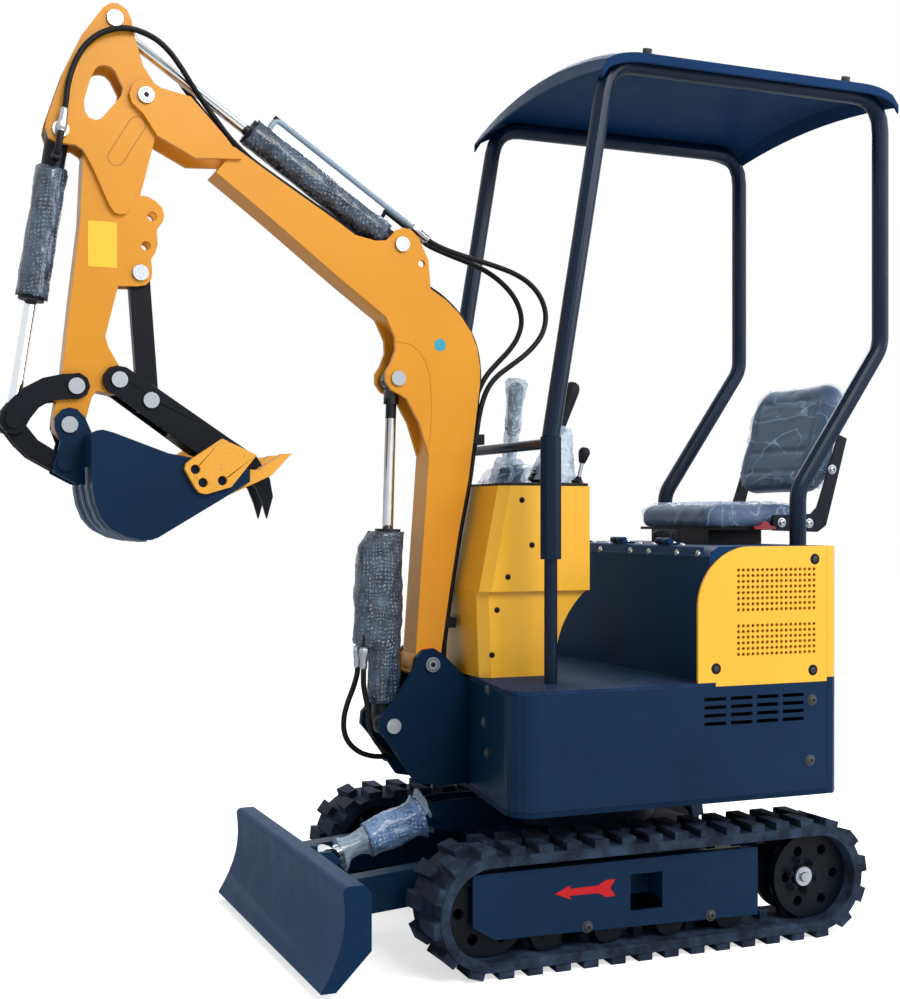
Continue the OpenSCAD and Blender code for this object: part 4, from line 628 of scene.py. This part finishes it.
# Cylinders in bubble film: a loose sleeve with uneven folds, through stations of place along the cylinder,
# half width in the side view, half width across, and shift towards the cylinder's own x
def sleeve(name, base, aim, stations, body, finish, seed, loose=0.004, stretch=None):
    start, end = stations[0][0], stations[-1][0]
    part = bmesh.new()
    ring = bmesh.ops.create_circle(part, segments=56, radius=1.0)["verts"]
    edges = edges_of(ring)
    rings = max(8, round((end - start) / SLEEVE_STEP))
    for _ in range(rings):
        grown = bmesh.ops.extrude_edge_only(part, edges=edges)["geom"]
        bmesh.ops.translate(part, verts=verts_in(grown), vec=(0, 0, (end - start) / rings))
        edges = [e for e in grown if isinstance(e, bmesh.types.BMEdge)]
    along, *shape = zip(*stations)
    for v in part.verts:
        fold = noise.noise(Vector((v.co.x * 2.2 + seed, v.co.y * 2.2, v.co.z * 16)))
        crumple = noise.noise(Vector((v.co.x * 5, v.co.y * 5 + seed, v.co.z * 55)))
        grow = loose * (1.0 + 0.8 * fold + 0.45 * crumple)
        side, deep, shift = (float(np.interp(v.co.z + start, along, values)) for values in shape)
        v.co.x = v.co.x * (side + grow) + shift
        v.co.y *= deep + grow
        v.co.z += start + 0.005 * fold
    bmesh.ops.recalc_face_normals(part, faces=part.faces)
    way = (aim - base).normalized()
    turn = Matrix((Vector((way.z, 0, -way.x)), Vector((0, 1, 0)), way)).transposed().to_4x4()
    bmesh.ops.transform(part, matrix=Matrix.Translation(base) @ turn, verts=part.verts)
    if stretch:
        stretch = (stretch[0], *(base + way * along_way for along_way in stretch[1:]))
    piece = fit_piece(name, part, body, finish, 70, stretch=stretch)
    wall = piece.modifiers.new("wall", "SOLIDIFY")
    wall.thickness = SLEEVE_WALL
    wall.offset = 1.0


def beside(base, aim, along, side, y):
    """A place beside a cylinder: along it, off it in the side view, and across the machine."""
    way = (aim - base).normalized()
    return base + way * along + Vector((way.z, 0, -way.x)) * side + Vector((0, y, 0))


sleeve("boom_barrel_wrap", BOOM_BASE, BOOM_ROD,
       [(.050, .032, .033, 0), (.150, .034, .034, 0), (.184, .037, .034, .004), (.200, .054, .037, .020),
        (.300, .057, .039, .021), (.400, .055, .038, .021), (.448, .053, .037, .020),
        (.488, .038, .035, .004)],
       "boom_cylinder", "bubble", 3.1, 0.006)
sleeve("arm_barrel_wrap", ARM_BASE, ARM_ROD, [(.045, .0325, .034, -.0025), (.462, .0325, .034, -.0025)],
       "arm_cylinder", "bubble", 7.7, 0.0026)
sleeve("bucket_barrel_wrap", BUCKET_BASE, ROD_END, [(.085, .031, .031, 0), (.392, .031, .031, 0)],
       "bucket_cylinder", "bubble", 11.3)
sleeve("blade_barrel_wrap", BLADE_BASE, BLADE_ROD,
       [(.030, .050, .046, 0), (.044, .037, .036, 0), (.120, .041, .038, 0), (.182, .034, .034, 0)],
       "blade_cylinder", "bubble_white", 5.9, 0.007)
sleeve("blade_rod_film", BLADE_BASE, BLADE_ROD,
       [(.180, .034, .034, 0), (.205, .024, .024, 0), (.235, .022, .024, 0), (.258, .040, .036, .010)],
       "blade_cylinder", "tuft", 8.3, 0.005, stretch=("blade_piston", .186, .250))
sleeve("blade_base_film", BLADE_BASE, BLADE_ROD,
       [(.012, .056, .046, -.010), (.024, .044, .042, -.004), (.040, .038, .036, 0)],
       "blade_cylinder", "tuft", 2.2, 0.006)

# The arm cylinder's hard pipe, and the plated hose nuts
ARM_PIPE = [(-.006, -.066), (.150, -.066), (.300, -.066), (.412, -.066), (.424, -.064), (.429, -.058),
            (.430, -.048), (.430, -.034)]
ARM_PIPE_R, ARM_PORT_Y = .0072, .015
pipe = tube("arm_pipe", [beside(ARM_BASE, ARM_ROD, l, s, ARM_PORT_Y) for l, s in ARM_PIPE], ARM_PIPE_R)
dress(pipe, "pipe")
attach(pipe, "arm_cylinder")
NUT_R, NUT_L, NUT_UP, NUT_EDGE = .0125, .020, .030, .0012
CRIMP = [(.0075, -.012), (.0092, -.010), (.0098, -.002), (.0092, .004), (.0098, .010), (.0106, .016),
         (.0106, .043), (.0070, .045)]


def hose_nuts(name, base, aim, body, along, side, off):
    """A hexagon nut and a crimped sleeve on each of two hose ends, one to each side of the middle."""
    part = bmesh.new()
    way = (aim - base).normalized()
    for y in (off, -off):
        at = beside(base, aim, along, side, y)
        nut = bmesh.new()
        block = bmesh.ops.create_cone(nut, cap_ends=True, segments=6, radius1=NUT_R, radius2=NUT_R,
                                      depth=NUT_L, matrix=Matrix.Translation((0, 0, NUT_UP)))
        round_off(nut, edges_of(block["verts"]), NUT_EDGE)
        bmesh.ops.transform(nut, matrix=on(at, way), verts=nut.verts)
        join(part, nut)
        turned(part, CRIMP, at, way, 20)
    fit_piece(name, part, body, "zinc")


hose_nuts("boom_hose_nuts", BOOM_BASE, BOOM_ROD, "boom_cylinder", .150, .064, .024)
hose_nuts("arm_hose_nuts", ARM_BASE, ARM_ROD, "arm_cylinder", -.046, -.066, ARM_PORT_Y)
hose_nuts("bucket_hose_nuts", BUCKET_BASE, ROD_END, "bucket_cylinder", -.034, 0, .064)

# Hexagon sockets in the heads of the tip and foot pins, and a turned ring round each socket, as flat black
# shapes: painted shade in each socket and in the ring round it
PIN_SOCKET = [(0, .0006), (.0068, .0006), (.0072, -.001)]
PIN_RING = [(.0135, -.0006), (.0138, .0012), (.0150, .0012), (.0153, -.0006)]
for body, place in (("boom", TIP), ("house", FOOT)):
    part = bmesh.new()
    for at, way in both_sides([on_side(body + "_pins", place.x, place.z)]):
        turned(part, PIN_SOCKET, at, way, 6)
        turned(part, PIN_RING, at, way, 32)
    fit_piece(body + "_pin_socket_shade", part, body, "black")

# Fasteners and trim of the undercarriage
GUARD_BOLTS = ((.199, .093), (-.142, .085))
bolts("guard_bolts", "undercarriage", "iron",
      both_sides([on_side("track_frames", x, z) for x, z in GUARD_BOLTS]), 0.011)
HUB_PX = (803, 876)
HUB = [(0, .012), (.012, .012), (.014, .009), (.014, .004), (.024, .004), (.026, -.002)]
HUB_BOLT_RING = .040
part, ring_part = bmesh.new(), bmesh.new()
hub, _ = shown("track_wheels", *HUB_PX)
for at, way in both_sides([(hub, LEFT)]):
    turned(part, HUB, at, way, 24)
    for k in range(6):
        turn = math.radians(60 * k + 15)
        spoke = Vector((math.cos(turn), 0, math.sin(turn)))
        hex_bolt(ring_part, at + HUB_BOLT_RING * spoke, way, 0.010)
fit_piece("sprocket_hubs", part, "undercarriage", "zinc")
fit_piece("sprocket_bolts", ring_part, "undercarriage", "black")
ARROW = [(.285, .179), (.243, .196), (.247, .187), (.170, .188), (.150, .199), (.124, .199), (.138, .179),
         (.124, .159), (.150, .159), (.170, .170), (.247, .171), (.243, .162)]
MARK_T = .0008
part = bmesh.new()
guard, _ = on_side("track_frames", .2, .179)
for side in (1, -1):
    flat_plate(part, ARROW, MARK_T, side_face((0, side * guard.y, 0), side))
fit_piece("travel_arrows", part, "undercarriage", "red")

# Fasteners of the house
SKIRT_BOLTS = ((-.425, .603), (-.419, .452))
SKIRT_BOLTS_PX = ((484, 722), (488, 690), (487, 753))
spots = [on_side("skirts", x, z) for x, z in SKIRT_BOLTS]
spots += [shown("skirts", px, py) for px, py in SKIRT_BOLTS_PX]
bolts("skirt_bolts", "house", "iron", both_sides(spots), 0.011)
PANEL_BOLTS = ((-.434, .957), (-.143, .692), (-.428, .678))
PANEL_CUP = [(.006, .0006), (.0118, .0014), (.0135, .0008), (.0140, -.0006)]
spots = both_sides([on_side("side_panels", x, z) for x, z in PANEL_BOLTS])
bolts("panel_bolts", "house", "iron", spots, 0.007)
part = bmesh.new()
for at, way in spots:
    turned(part, PANEL_CUP, at, way, 28)
fit_piece("panel_bolt_cups", part, "house", "black")
CONSOLE_BOLTS_PX = ((522, 500), (532, 545), (508, 577), (497, 610), (492, 655))
bolts("console_bolts", "house", "black", [shown("console", px, py) for px, py in CONSOLE_BOLTS_PX], 0.0058)

# The strip along the hood's front edge, with its bolts and those of the seat deck behind it
hood_x = touch("hood", (OUTSIDE, .36, .975), BACKWARD)[0].x
TRIM_T, TRIM_TOP, TRIM_TURN, TRIM_LOW, TRIM_HALF = .0038, .9902, .987, .951, .43
HOOD_TRIM = [(hood_x - .001, TRIM_TOP), (hood_x + .0008, TRIM_TOP), (hood_x + TRIM_T, TRIM_TURN),
             (hood_x + TRIM_T, TRIM_LOW), (hood_x + .0002, TRIM_LOW), (hood_x + .0002, TRIM_TURN)]
part = bmesh.new()
flat_plate(part, HOOD_TRIM, 2 * TRIM_HALF, side_face((0, -TRIM_HALF, 0)))
fit_piece("hood_trim", part, "house", "hood_trim", 20)
HOOD_BOLT_Z, HOOD_BOLT_Y = .970, (-.410, -.310, -.097, .072, .170, .310, .410)
bolts("hood_bolts", "house", "zinc",
      [((hood_x + TRIM_T, y, HOOD_BOLT_Z), FORWARD) for y in HOOD_BOLT_Y], 0.009)
DECK_BOLT_BACK, DECK_BOLT_Y, ABOVE_DECK = .034, (-.205, -.120, -.067, .060, .130, .275), 1.2
bolts("seat_deck_bolts", "seat", "zinc",
      [(touch("seat_deck", (hood_x - DECK_BOLT_BACK, y, ABOVE_DECK), DOWN)[0], UP) for y in DECK_BOLT_Y],
      0.008)
HINGE_BOLT_X, HINGE_BOLT_Y, HINGE_TOP = (-.152, -.178), (-.257, -.017, .223), .995
bolts("seat_hinge_bolts", "seat", "zinc",
      [((x, y, HINGE_TOP), UP) for y in HINGE_BOLT_Y for x in HINGE_BOLT_X], 0.007)
CAP_AT = Vector((-.232, .096, .990))
CAP = [(.0345, -.001), (.0365, .003), (.0365, .028), (.034, .033), (.030, .0375), (.026, .0375),
       (.024, .0365), (0, .0365)]
CAP_RIBS, CAP_RIB_RING, CAP_RIB_UP = 16, .0355, .0165
part = bmesh.new()
turned(part, CAP, CAP_AT, UP, 48)
for k in range(CAP_RIBS):
    turn = 2 * math.pi * k / CAP_RIBS
    rib_at = CAP_AT + Vector((CAP_RIB_RING * math.cos(turn), CAP_RIB_RING * math.sin(turn), CAP_RIB_UP))
    bmesh.ops.create_cone(part, cap_ends=True, segments=8, radius1=.0042, radius2=.0034, depth=.026,
                          matrix=Matrix.Translation(rib_at))
fit_piece("filler_cap", part, "seat", "grip")

# Canopy: bolts through the roof into the rails
RAIL_Y, RAIL_BOLT_X, ABOVE_ROOF = .335, (-.032, -.637), 3
bolts("roof_bolts", "house", "iron",
      both_sides([touch("roof", (x, RAIL_Y, ABOVE_ROOF), DOWN) for x in RAIL_BOLT_X]), 0.020, hex_bolt)

# Levers: rubber bellows, plated sticks and moulded grips that lean back to the seat, and thin levers
# with knobs; each has its place, its lean in degrees and, where thin, how much shorter it is
LEVER_TOP = 1.150
LEVER_FOOT = LEVER_TOP - .0005
STICKS = [((.150, .105), 20.0), ((.150, -.105), 6.0)]
THIN = [((.072, .160), 14.0, .036), ((.190, .040), 6.0, .082), ((.190, -.040), 6.0, .082)]
LEVER_PLATE = [(.055, -.187), (.275, -.187), (.275, .187), (.055, .187)]
BELLOWS = [(.0340, 0), (.0345, .005), (.0290, .010), (.0325, .016), (.0270, .021), (.0300, .027),
           (.0240, .032), (.0270, .038), (.0205, .043), (.0230, .049), (.0150, .056), (.0100, .060)]
GRIP = [(0, .136), (.0125, .137), (.0150, .142), (.0165, .160), (.0180, .190), (.0200, .220), (.0220, .248),
        (.0225, .262), (.0205, .273), (.0150, .280), (.0070, .2835), (0, .284)]
GRIP_FLAT = (1.0, 0.9, 1.0)
GRIP_COLLAR = [(.0165, .150), (.0200, .152), (.0205, .157), (.0165, .160)]
THIN_BOOT = [(.0160, 0), (.0165, .004), (.0120, .008), (.0085, .014), (.0070, .018)]
KNOB = [(.0060, .090), (.0085, .092), (.0120, .104), (.0145, .114), (.0150, .120), (.0130, .127),
        (.0080, .1315), (0, .1325)]


def leaning(degrees):
    """The way of a lever that leans back from upright."""
    return Vector((-math.sin(math.radians(degrees)), 0, math.cos(math.radians(degrees))))


plate, rods, grips = bmesh.new(), bmesh.new(), bmesh.new()
flat_plate(plate, LEVER_PLATE, .0078, Matrix.Translation((0, 0, 1.1424)), .002)
for (x, y), lean in STICKS:
    way = leaning(lean)
    at = Vector((x, y, LEVER_FOOT))
    turned(plate, BELLOWS, at, way, 32)
    turned(rods, [(.0090, .050), (.0090, .150)], at, way, 20)
    turned(grips, GRIP, at, way, 28, GRIP_FLAT)
    turned(grips, GRIP_COLLAR, at, way, 28)
for (x, y), lean, short in THIN:
    way = leaning(lean)
    at = Vector((x, y, LEVER_FOOT))
    turned(plate, THIN_BOOT, at, way, 24)
    turned(rods, [(.0050, .012), (.0050, .100 - short)], at, way, 16)
    turned(grips, KNOB, at - way * short, way, 24)
fit_piece("lever_boots", plate, "house", "grip", replaces=["levers"])
fit_piece("lever_rods", rods, "house", "zinc")
fit_piece("lever_grips", grips, "house", "grip")


# Film round the levers: crumpled bags over the grips and the bellows
def film_bag(name, place, lean, outline, finish, seed, crumple):
    part = bmesh.new()
    turned(part, outline, (0, 0, 0), UP, 40)
    rising = [e for e in part.edges if abs(e.verts[0].co.z - e.verts[1].co.z) > .004]
    bmesh.ops.subdivide_edges(part, edges=rising, cuts=3, use_grid_fill=True)
    for v in part.verts:
        q = Vector((v.co.x * 55 + seed, v.co.y * 55, v.co.z * 34))
        push = crumple * (0.5 + noise.noise(q) + 0.5 * noise.noise(q * 2.3))
        v.co += Vector((v.co.x, v.co.y, 0)).normalized() * push
    bmesh.ops.transform(part, matrix=on((*place, LEVER_TOP), leaning(lean)), verts=part.verts)
    fit_piece(name, part, "house", finish, 25)


film_bag("far_grip_film", (.150, -.105), 6.0,
         [(.0170, .062), (.0165, .100), (.0185, .140), (.0215, .180), (.0205, .215), (.0240, .250),
          (.0300, .282), (.0220, .292), (.0040, .290)], "tuft", 4.4, .0042)
film_bag("near_grip_film", (.120, .112), 8.0,
         [(.0560, .002), (.0500, .030), (.0430, .060), (.0360, .095), (.0300, .130), (.0240, .150)],
         "tuft", 9.1, .0080)
film_bag("far_boot_film", (.150, -.105), 5.0,
         [(.0480, .003), (.0440, .030), (.0380, .058), (.0260, .075)], "tuft", 1.7, .0070)
film_bag("middle_film", (.170, .000), 0.0,
         [(.0900, .002), (.0860, .022), (.0700, .040), (.0350, .052), (.0080, .056)], "film", 6.2, .0110)


# Seat pads: a block with rounded corners, remeshed and swollen by cloth pressure, with sewn seams
PAD_CELL = 0.006
SEAM_HALF = 0.011
SWELL_FRAMES = 20


def swell(piece, cap):
    """Where cloth pressure moves a pad's points, by no more than a cap."""
    rest = np.array([v.co[:] for v in piece.data.vertices])
    cloth = piece.modifiers.new("cloth", "CLOTH")
    cloth.settings.use_pressure = True
    cloth.settings.uniform_pressure_force = 4.0
    cloth.settings.effector_weights.gravity = 0.0
    cloth.settings.quality = 5
    for step in range(1, SWELL_FRAMES + 1):
        scene.frame_set(step)
    blown = evaluated(piece).to_mesh()
    moved = np.array([v.co[:] for v in blown.vertices])
    piece.modifiers.remove(cloth)
    scene.frame_set(1)
    move = moved - rest
    far = np.linalg.norm(move, axis=1, keepdims=True)
    return rest + move * np.minimum(1.0, cap / np.maximum(far, 1e-9))


def pad_mesh(name, size, corner, edge, cap, seams, press):
    """A pad lying flat: x and y across, z its thickness, its underside at 0."""
    part = bmesh.new()
    bmesh.ops.create_cube(part, size=1.0)
    bmesh.ops.scale(part, vec=size, verts=part.verts)
    upright = [e for e in part.edges if abs(e.verts[0].co.z - e.verts[1].co.z) > size[2] / 2]
    round_off(part, upright, corner, 6)
    round_off(part, [e for e in part.edges if e.calc_face_angle(0) > 1.2], edge, 4)
    mesh = bpy.data.meshes.new(name)
    part.to_mesh(mesh)
    part.free()
    piece = link(bpy.data.objects.new(name, mesh))
    cells = piece.modifiers.new("cells", "REMESH")
    cells.mode = "VOXEL"
    cells.voxel_size = PAD_CELL
    mesh = bpy.data.meshes.new_from_object(evaluated(piece))
    piece.modifiers.remove(cells)
    piece.data = mesh
    places = np.array([v.co[:] for v in mesh.vertices])
    places = swell(piece, cap)
    for v, place in zip(mesh.vertices, places):
        v.co = place
    low = -size[2] / 2
    for v in mesh.vertices:
        if v.co.z > 0:
            away = min(seam(v.co.x, v.co.y) for seam in seams)
            v.co.z -= press * max(0.0, 1 - (away / SEAM_HALF) ** 2)
        v.co.z = max(v.co.z, low) - low
    return piece


def box_seam(half_x, half_y):
    """Distance from the outline of a rectangle about the pad's middle."""
    def away(x, y):
        dx, dy = abs(x) - half_x, abs(y) - half_y
        if dx > 0 and dy > 0:
            return math.hypot(dx, dy)
        return abs(max(dx, dy))
    return away


def line_seam(at, half_y):
    """Distance from a straight seam across the pad."""
    def away(x, y):
        return math.hypot(x - at, max(0.0, abs(y) - half_y))
    return away


def fit_pad(piece, matrix, node):
    piece.data.transform(matrix)
    piece.data.polygons.foreach_set("use_smooth", [True] * len(piece.data.polygons))
    dress(piece, "cloth")
    fine = piece.modifiers.new("fine", "SUBSURF")
    fine.levels = fine.render_levels = 1
    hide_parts(node)
    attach(piece, "seat")


def pad_film(name, pad, seed, keep_at, keep_way, gap, crumple):
    """Film over a pad: its skin a little way out, crumpled, and cut off towards the underside."""
    part = bmesh.new()
    part.from_mesh(pad.data)
    bmesh.ops.bisect_plane(part, geom=part.verts[:] + part.edges[:] + part.faces[:], plane_co=keep_at,
                           plane_no=keep_way, clear_inner=True)
    part.normal_update()
    pushes = []
    for v in part.verts:
        q = Vector((v.co.x * 20 + seed, v.co.y * 9, v.co.z * 20))
        sharp = max(0.0, 1 - abs(noise.noise(q)) * 2.2)
        pushes.append((v, v.normal * (gap + crumple * sharp + crumple * 0.5 * noise.noise(q * 2.7))))
    for v, push in pushes:
        v.co += push
    fit_piece(name, part, "seat", "film", 60)


cushion = pad_mesh("seat_pad", (.324, .394, .052), corner=.050, edge=.018, cap=.010,
                   seams=[box_seam(.110, .145), line_seam(.0, .145)], press=.0045)
fit_pad(cushion, Matrix.Translation((-.460, 0, 1.0362)), "seat_cushion")
BACK_LEAN = 16
back_pad = pad_mesh("back_pad", (.328, .396, .046), corner=.075, edge=.017, cap=.010,
                    seams=[box_seam(.105, .140), line_seam(-.045, .140)], press=.0045)
stand = (Matrix.Translation((-.622, 0, 1.130)) @ Matrix.Rotation(-math.radians(BACK_LEAN), 4, "Y")
         @ Matrix.Translation((-.059, 0, .171)) @ Matrix.Rotation(math.pi / 2, 4, "Y")
         @ Matrix.Rotation(math.pi, 4, "Z"))
fit_pad(back_pad, stand, "seat_back")
pad_film("seat_pad_film", cushion, 2.0, (0, 0, 1.042), UP, gap=.0022, crumple=.0062)
pad_film("back_pad_film", back_pad, 7.0, (-.640, 0, 1.158), leaning(BACK_LEAN), gap=.0022, crumple=.0060)
SEAT_BOLTS = ((-.522, 1.048), (-.612, 1.046), (-.688, 1.194))
bolts("seat_bolts", "seat", "zinc", both_sides([on_side("seat_frame", x, z) for x, z in SEAT_BOLTS]), 0.010)
HANDLE = [(-.492, 1.030), (-.428, 1.030), (-.424, 1.037), (-.446, 1.040), (-.452, 1.050), (-.470, 1.050),
          (-.476, 1.040), (-.492, 1.037)]
HANDLE_Y, HANDLE_T, HANDLE_EDGE = .2270, .014, .002
part = bmesh.new()
flat_plate(part, HANDLE, HANDLE_T, side_face((0, HANDLE_Y, 0), -1), HANDLE_EDGE)
fit_piece("seat_slide_handle", part, "seat", "red_grip")

# Marks on the boom and arm: a blue dot and a blank yellow plate
DOT_AT, DOT = (.409, 1.505), [(0, .0008), (.0150, .0008), (.0160, .0002), (.0160, -.0004)]
part = bmesh.new()
turned(part, DOT, *on_side("boom", *DOT_AT), 36)
fit_piece("boom_dot", part, "boom", "sticker", 10)
PLATE_AT = (1.262, 1.705)
PLATE = [(-.034, -.054), (.030, -.054), (.034, -.050), (.034, .050), (.030, .054), (-.030, .054),
         (-.034, .050)]
part = bmesh.new()
flat_plate(part, PLATE, MARK_T, side_face(on_side("arm", *PLATE_AT)[0]))
fit_piece("arm_plate", part, "arm", "label")

# The long slot pressed in the arm's head plate, and the edge of the boom's cheek plate, as half sunk beads
SLOT_PX, SLOT_R_PX, SLOT_STEPS = ((137.0, 125.0), (116.5, 157.0)), 8.5, 8
BOOM_BEAD_PX = [(396, 341), (409, 343), (419, 350), (426, 361), (430.5, 377), (432, 396), (432, 416),
                (431, 433), (429, 449)]
slot_way = (Vector(SLOT_PX[1]) - Vector(SLOT_PX[0])).normalized()
slot_side = Vector((-slot_way.y, slot_way.x))
slot = []
for centre, end in zip(SLOT_PX, (-1, 1)):
    for k in range(SLOT_STEPS + 1):
        turn = math.pi * k / SLOT_STEPS
        round_end = slot_way * math.sin(turn) - slot_side * math.cos(turn)
        slot.append(Vector(centre) + SLOT_R_PX * end * round_end)


def bead(name, node, spots, radius, sunk, finish, closed):
    """A bead on both sides of a node, half sunk in it, along the pixels that show it."""
    points = [shown(node, *spot)[0] for spot in spots]
    for end, side in (("_left", 1), ("_right", -1)):
        piece = tube(name + end, [(q.x, side * (q.y - sunk), q.z) for q in points], radius, closed)
        dress(piece, finish)
        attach(piece, node)


# The slot's bead is the darker yellow: painted shade along the pressed slot
bead("arm_slot", "arm", slot, 0.0022, 0.0014, "boom_painted_shade", True)
bead("boom_cheek_bead", "boom", BOOM_BEAD_PX, 0.0030, 0.0012, "boom_yellow", False)

# Black rubber covers on the hose straps of the boom, whose places are shares of its length from its foot
STRAPS = [FOOT + BOOM_L * Vector((x, 0, z)) for x, z in ((-.0834, .372), (-.032, .066))]
STRAP_DEEP, STRAP_HALF, STRAP_T, STRAP_H, COVER = .030, .037, .006, .024, .0014
part = bmesh.new()
for place in STRAPS:
    back, front = place.x - STRAP_DEEP - COVER, place.x
    outer, inner = STRAP_HALF + STRAP_T + COVER, STRAP_HALF - COVER
    inside = back + STRAP_T + 2 * COVER
    flat_plate(part, [(front, outer), (back, outer), (back, -outer), (front, -outer), (front, -inner),
                      (inside, -inner), (inside, inner), (front, inner)], STRAP_H + 2 * COVER,
               Matrix.Translation((0, 0, place.z - STRAP_H / 2 - COVER)))
fit_piece("hose_strap_covers", part, "boom", "grip")

# Bucket: wear ribs round its back
BUCKET_BACK = [(-.066, -.200), (-.070, -.290), (-.082, -.360), (-.110, -.430), (-.150, -.476), (-.216, -.510),
               (-.290, -.526), (-.330, -.526)]
BUCKET_R, BUCKET_MIDDLE = .51, Vector((-.300, 0, -.300))
RIB_Y, RIB_WIDE, RIB_OUT, RIB_DEEP = (-.095, 0, .095), .012, .005, .010
part = bmesh.new()
for y in RIB_Y:
    rib = bmesh.new()
    line = []
    for x, z in BUCKET_BACK:
        back = Vector((x, 0, z))
        out = (back - BUCKET_MIDDLE).normalized()
        at = BUCKET_PIN + BUCKET_R * back + RIB_OUT * out
        line.append(rib.verts.new(at + Vector((0, y - RIB_WIDE / 2, 0))))
    edges = [rib.edges.new(pair) for pair in zip(line, line[1:])]
    wide = bmesh.ops.extrude_edge_only(rib, edges=edges)["geom"]
    bmesh.ops.translate(rib, verts=verts_in(wide), vec=(0, RIB_WIDE, 0))
    bmesh.ops.recalc_face_normals(rib, faces=rib.faces)
    bmesh.ops.solidify(rib, geom=rib.faces[:], thickness=RIB_DEEP)
    join(part, rib)
fit_piece("bucket_ribs", part, "bucket", "rib_steel")

# Stage
FLOOR_HALF = 60
floor_mesh = bpy.data.meshes.new("floor")
floor_part = bmesh.new()
bmesh.ops.create_grid(floor_part, x_segments=1, y_segments=1, size=FLOOR_HALF)
floor_part.to_mesh(floor_mesh)
floor_part.free()
floor = link(bpy.data.objects.new("floor", floor_mesh))
# Painted studio floor: plain and pale, a shade uneven, and lifted to white for the eye
floor_finish, floor_tree, floor_shader, floor_place = surface("painted_studio_floor")
floor_cloud = add(floor_tree, "ShaderNodeTexNoise", {"Vector": floor_place, "Scale": per_mm(1600)})
floor_tone = add(floor_tree, "ShaderNodeMix", {SHARE: floor_cloud, FIRST: lin("#F4F4F3"),
                                             SECOND: lin("#F0F0EF")}, data_type="RGBA")
floor_paths = add(floor_tree, "ShaderNodeLightPath")
floor_lift = add(floor_tree, "ShaderNodeMath", {0: floor_paths.outputs["Is Camera Ray"], 1: 0.64},
                 operation="MULTIPLY")
feed(floor_tree, floor_shader, {"Base Color": floor_tone, "Roughness": 0.8, "Specular IOR Level": 0.1,
                                "Emission Color": lin("#FFFFFF"), "Emission Strength": floor_lift})
floor_mesh.materials.append(floor_finish)

# Soft even studio light; the eye, metal and film see a white backdrop
world = bpy.data.worlds.new("studio")
world.use_nodes = True
scene.world = world
sky = world.node_tree
back = sky.nodes["Background"]
feed(sky, back, {"Color": lin("#F2F6FA"), "Strength": 0.42})
rays = add(sky, "ShaderNodeLightPath").outputs
seen_or_mirrored = add(sky, "ShaderNodeMath", {0: rays["Is Camera Ray"], 1: rays["Is Glossy Ray"]},
                       operation="MAXIMUM")
seen_through = add(sky, "ShaderNodeMath", {0: seen_or_mirrored, 1: rays["Is Transmission Ray"]},
                   operation="MAXIMUM")
white = add(sky, "ShaderNodeBackground", {"Color": lin("#FFFFFF"), "Strength": 1.0})
either = add(sky, "ShaderNodeMixShader", {0: seen_through, 1: back, 2: white})
feed(sky, sky.nodes["World Output"], {"Surface": either})


def area_light(name, at, target, size, power, colour="#FFFFFF"):
    lamp_data = bpy.data.lights.new(name, "AREA")
    lamp_data.shape = "RECTANGLE"
    lamp_data.size, lamp_data.size_y = size
    lamp_data.energy = power
    lamp_data.color = lin(colour)[:3]
    lamp = link(bpy.data.objects.new(name, lamp_data))
    lamp.location = at
    lamp.rotation_euler = (Vector(target) - Vector(at)).to_track_quat("-Z", "Y").to_euler()


area_light("key", (-0.4, 4.6, 4.4), (0.2, 0.0, 1.0), (2.6, 2.6), 205, "#FFF9F0")
area_light("side", (-3.6, 3.2, 2.8), (0.0, 0.2, 0.8), (2.4, 3.0), 105, "#EEF4FF")
area_light("rim", (-2.0, -4.0, 4.2), (0.0, 0.0, 1.2), (3.0, 2.0), 110, "#F2F6FF")
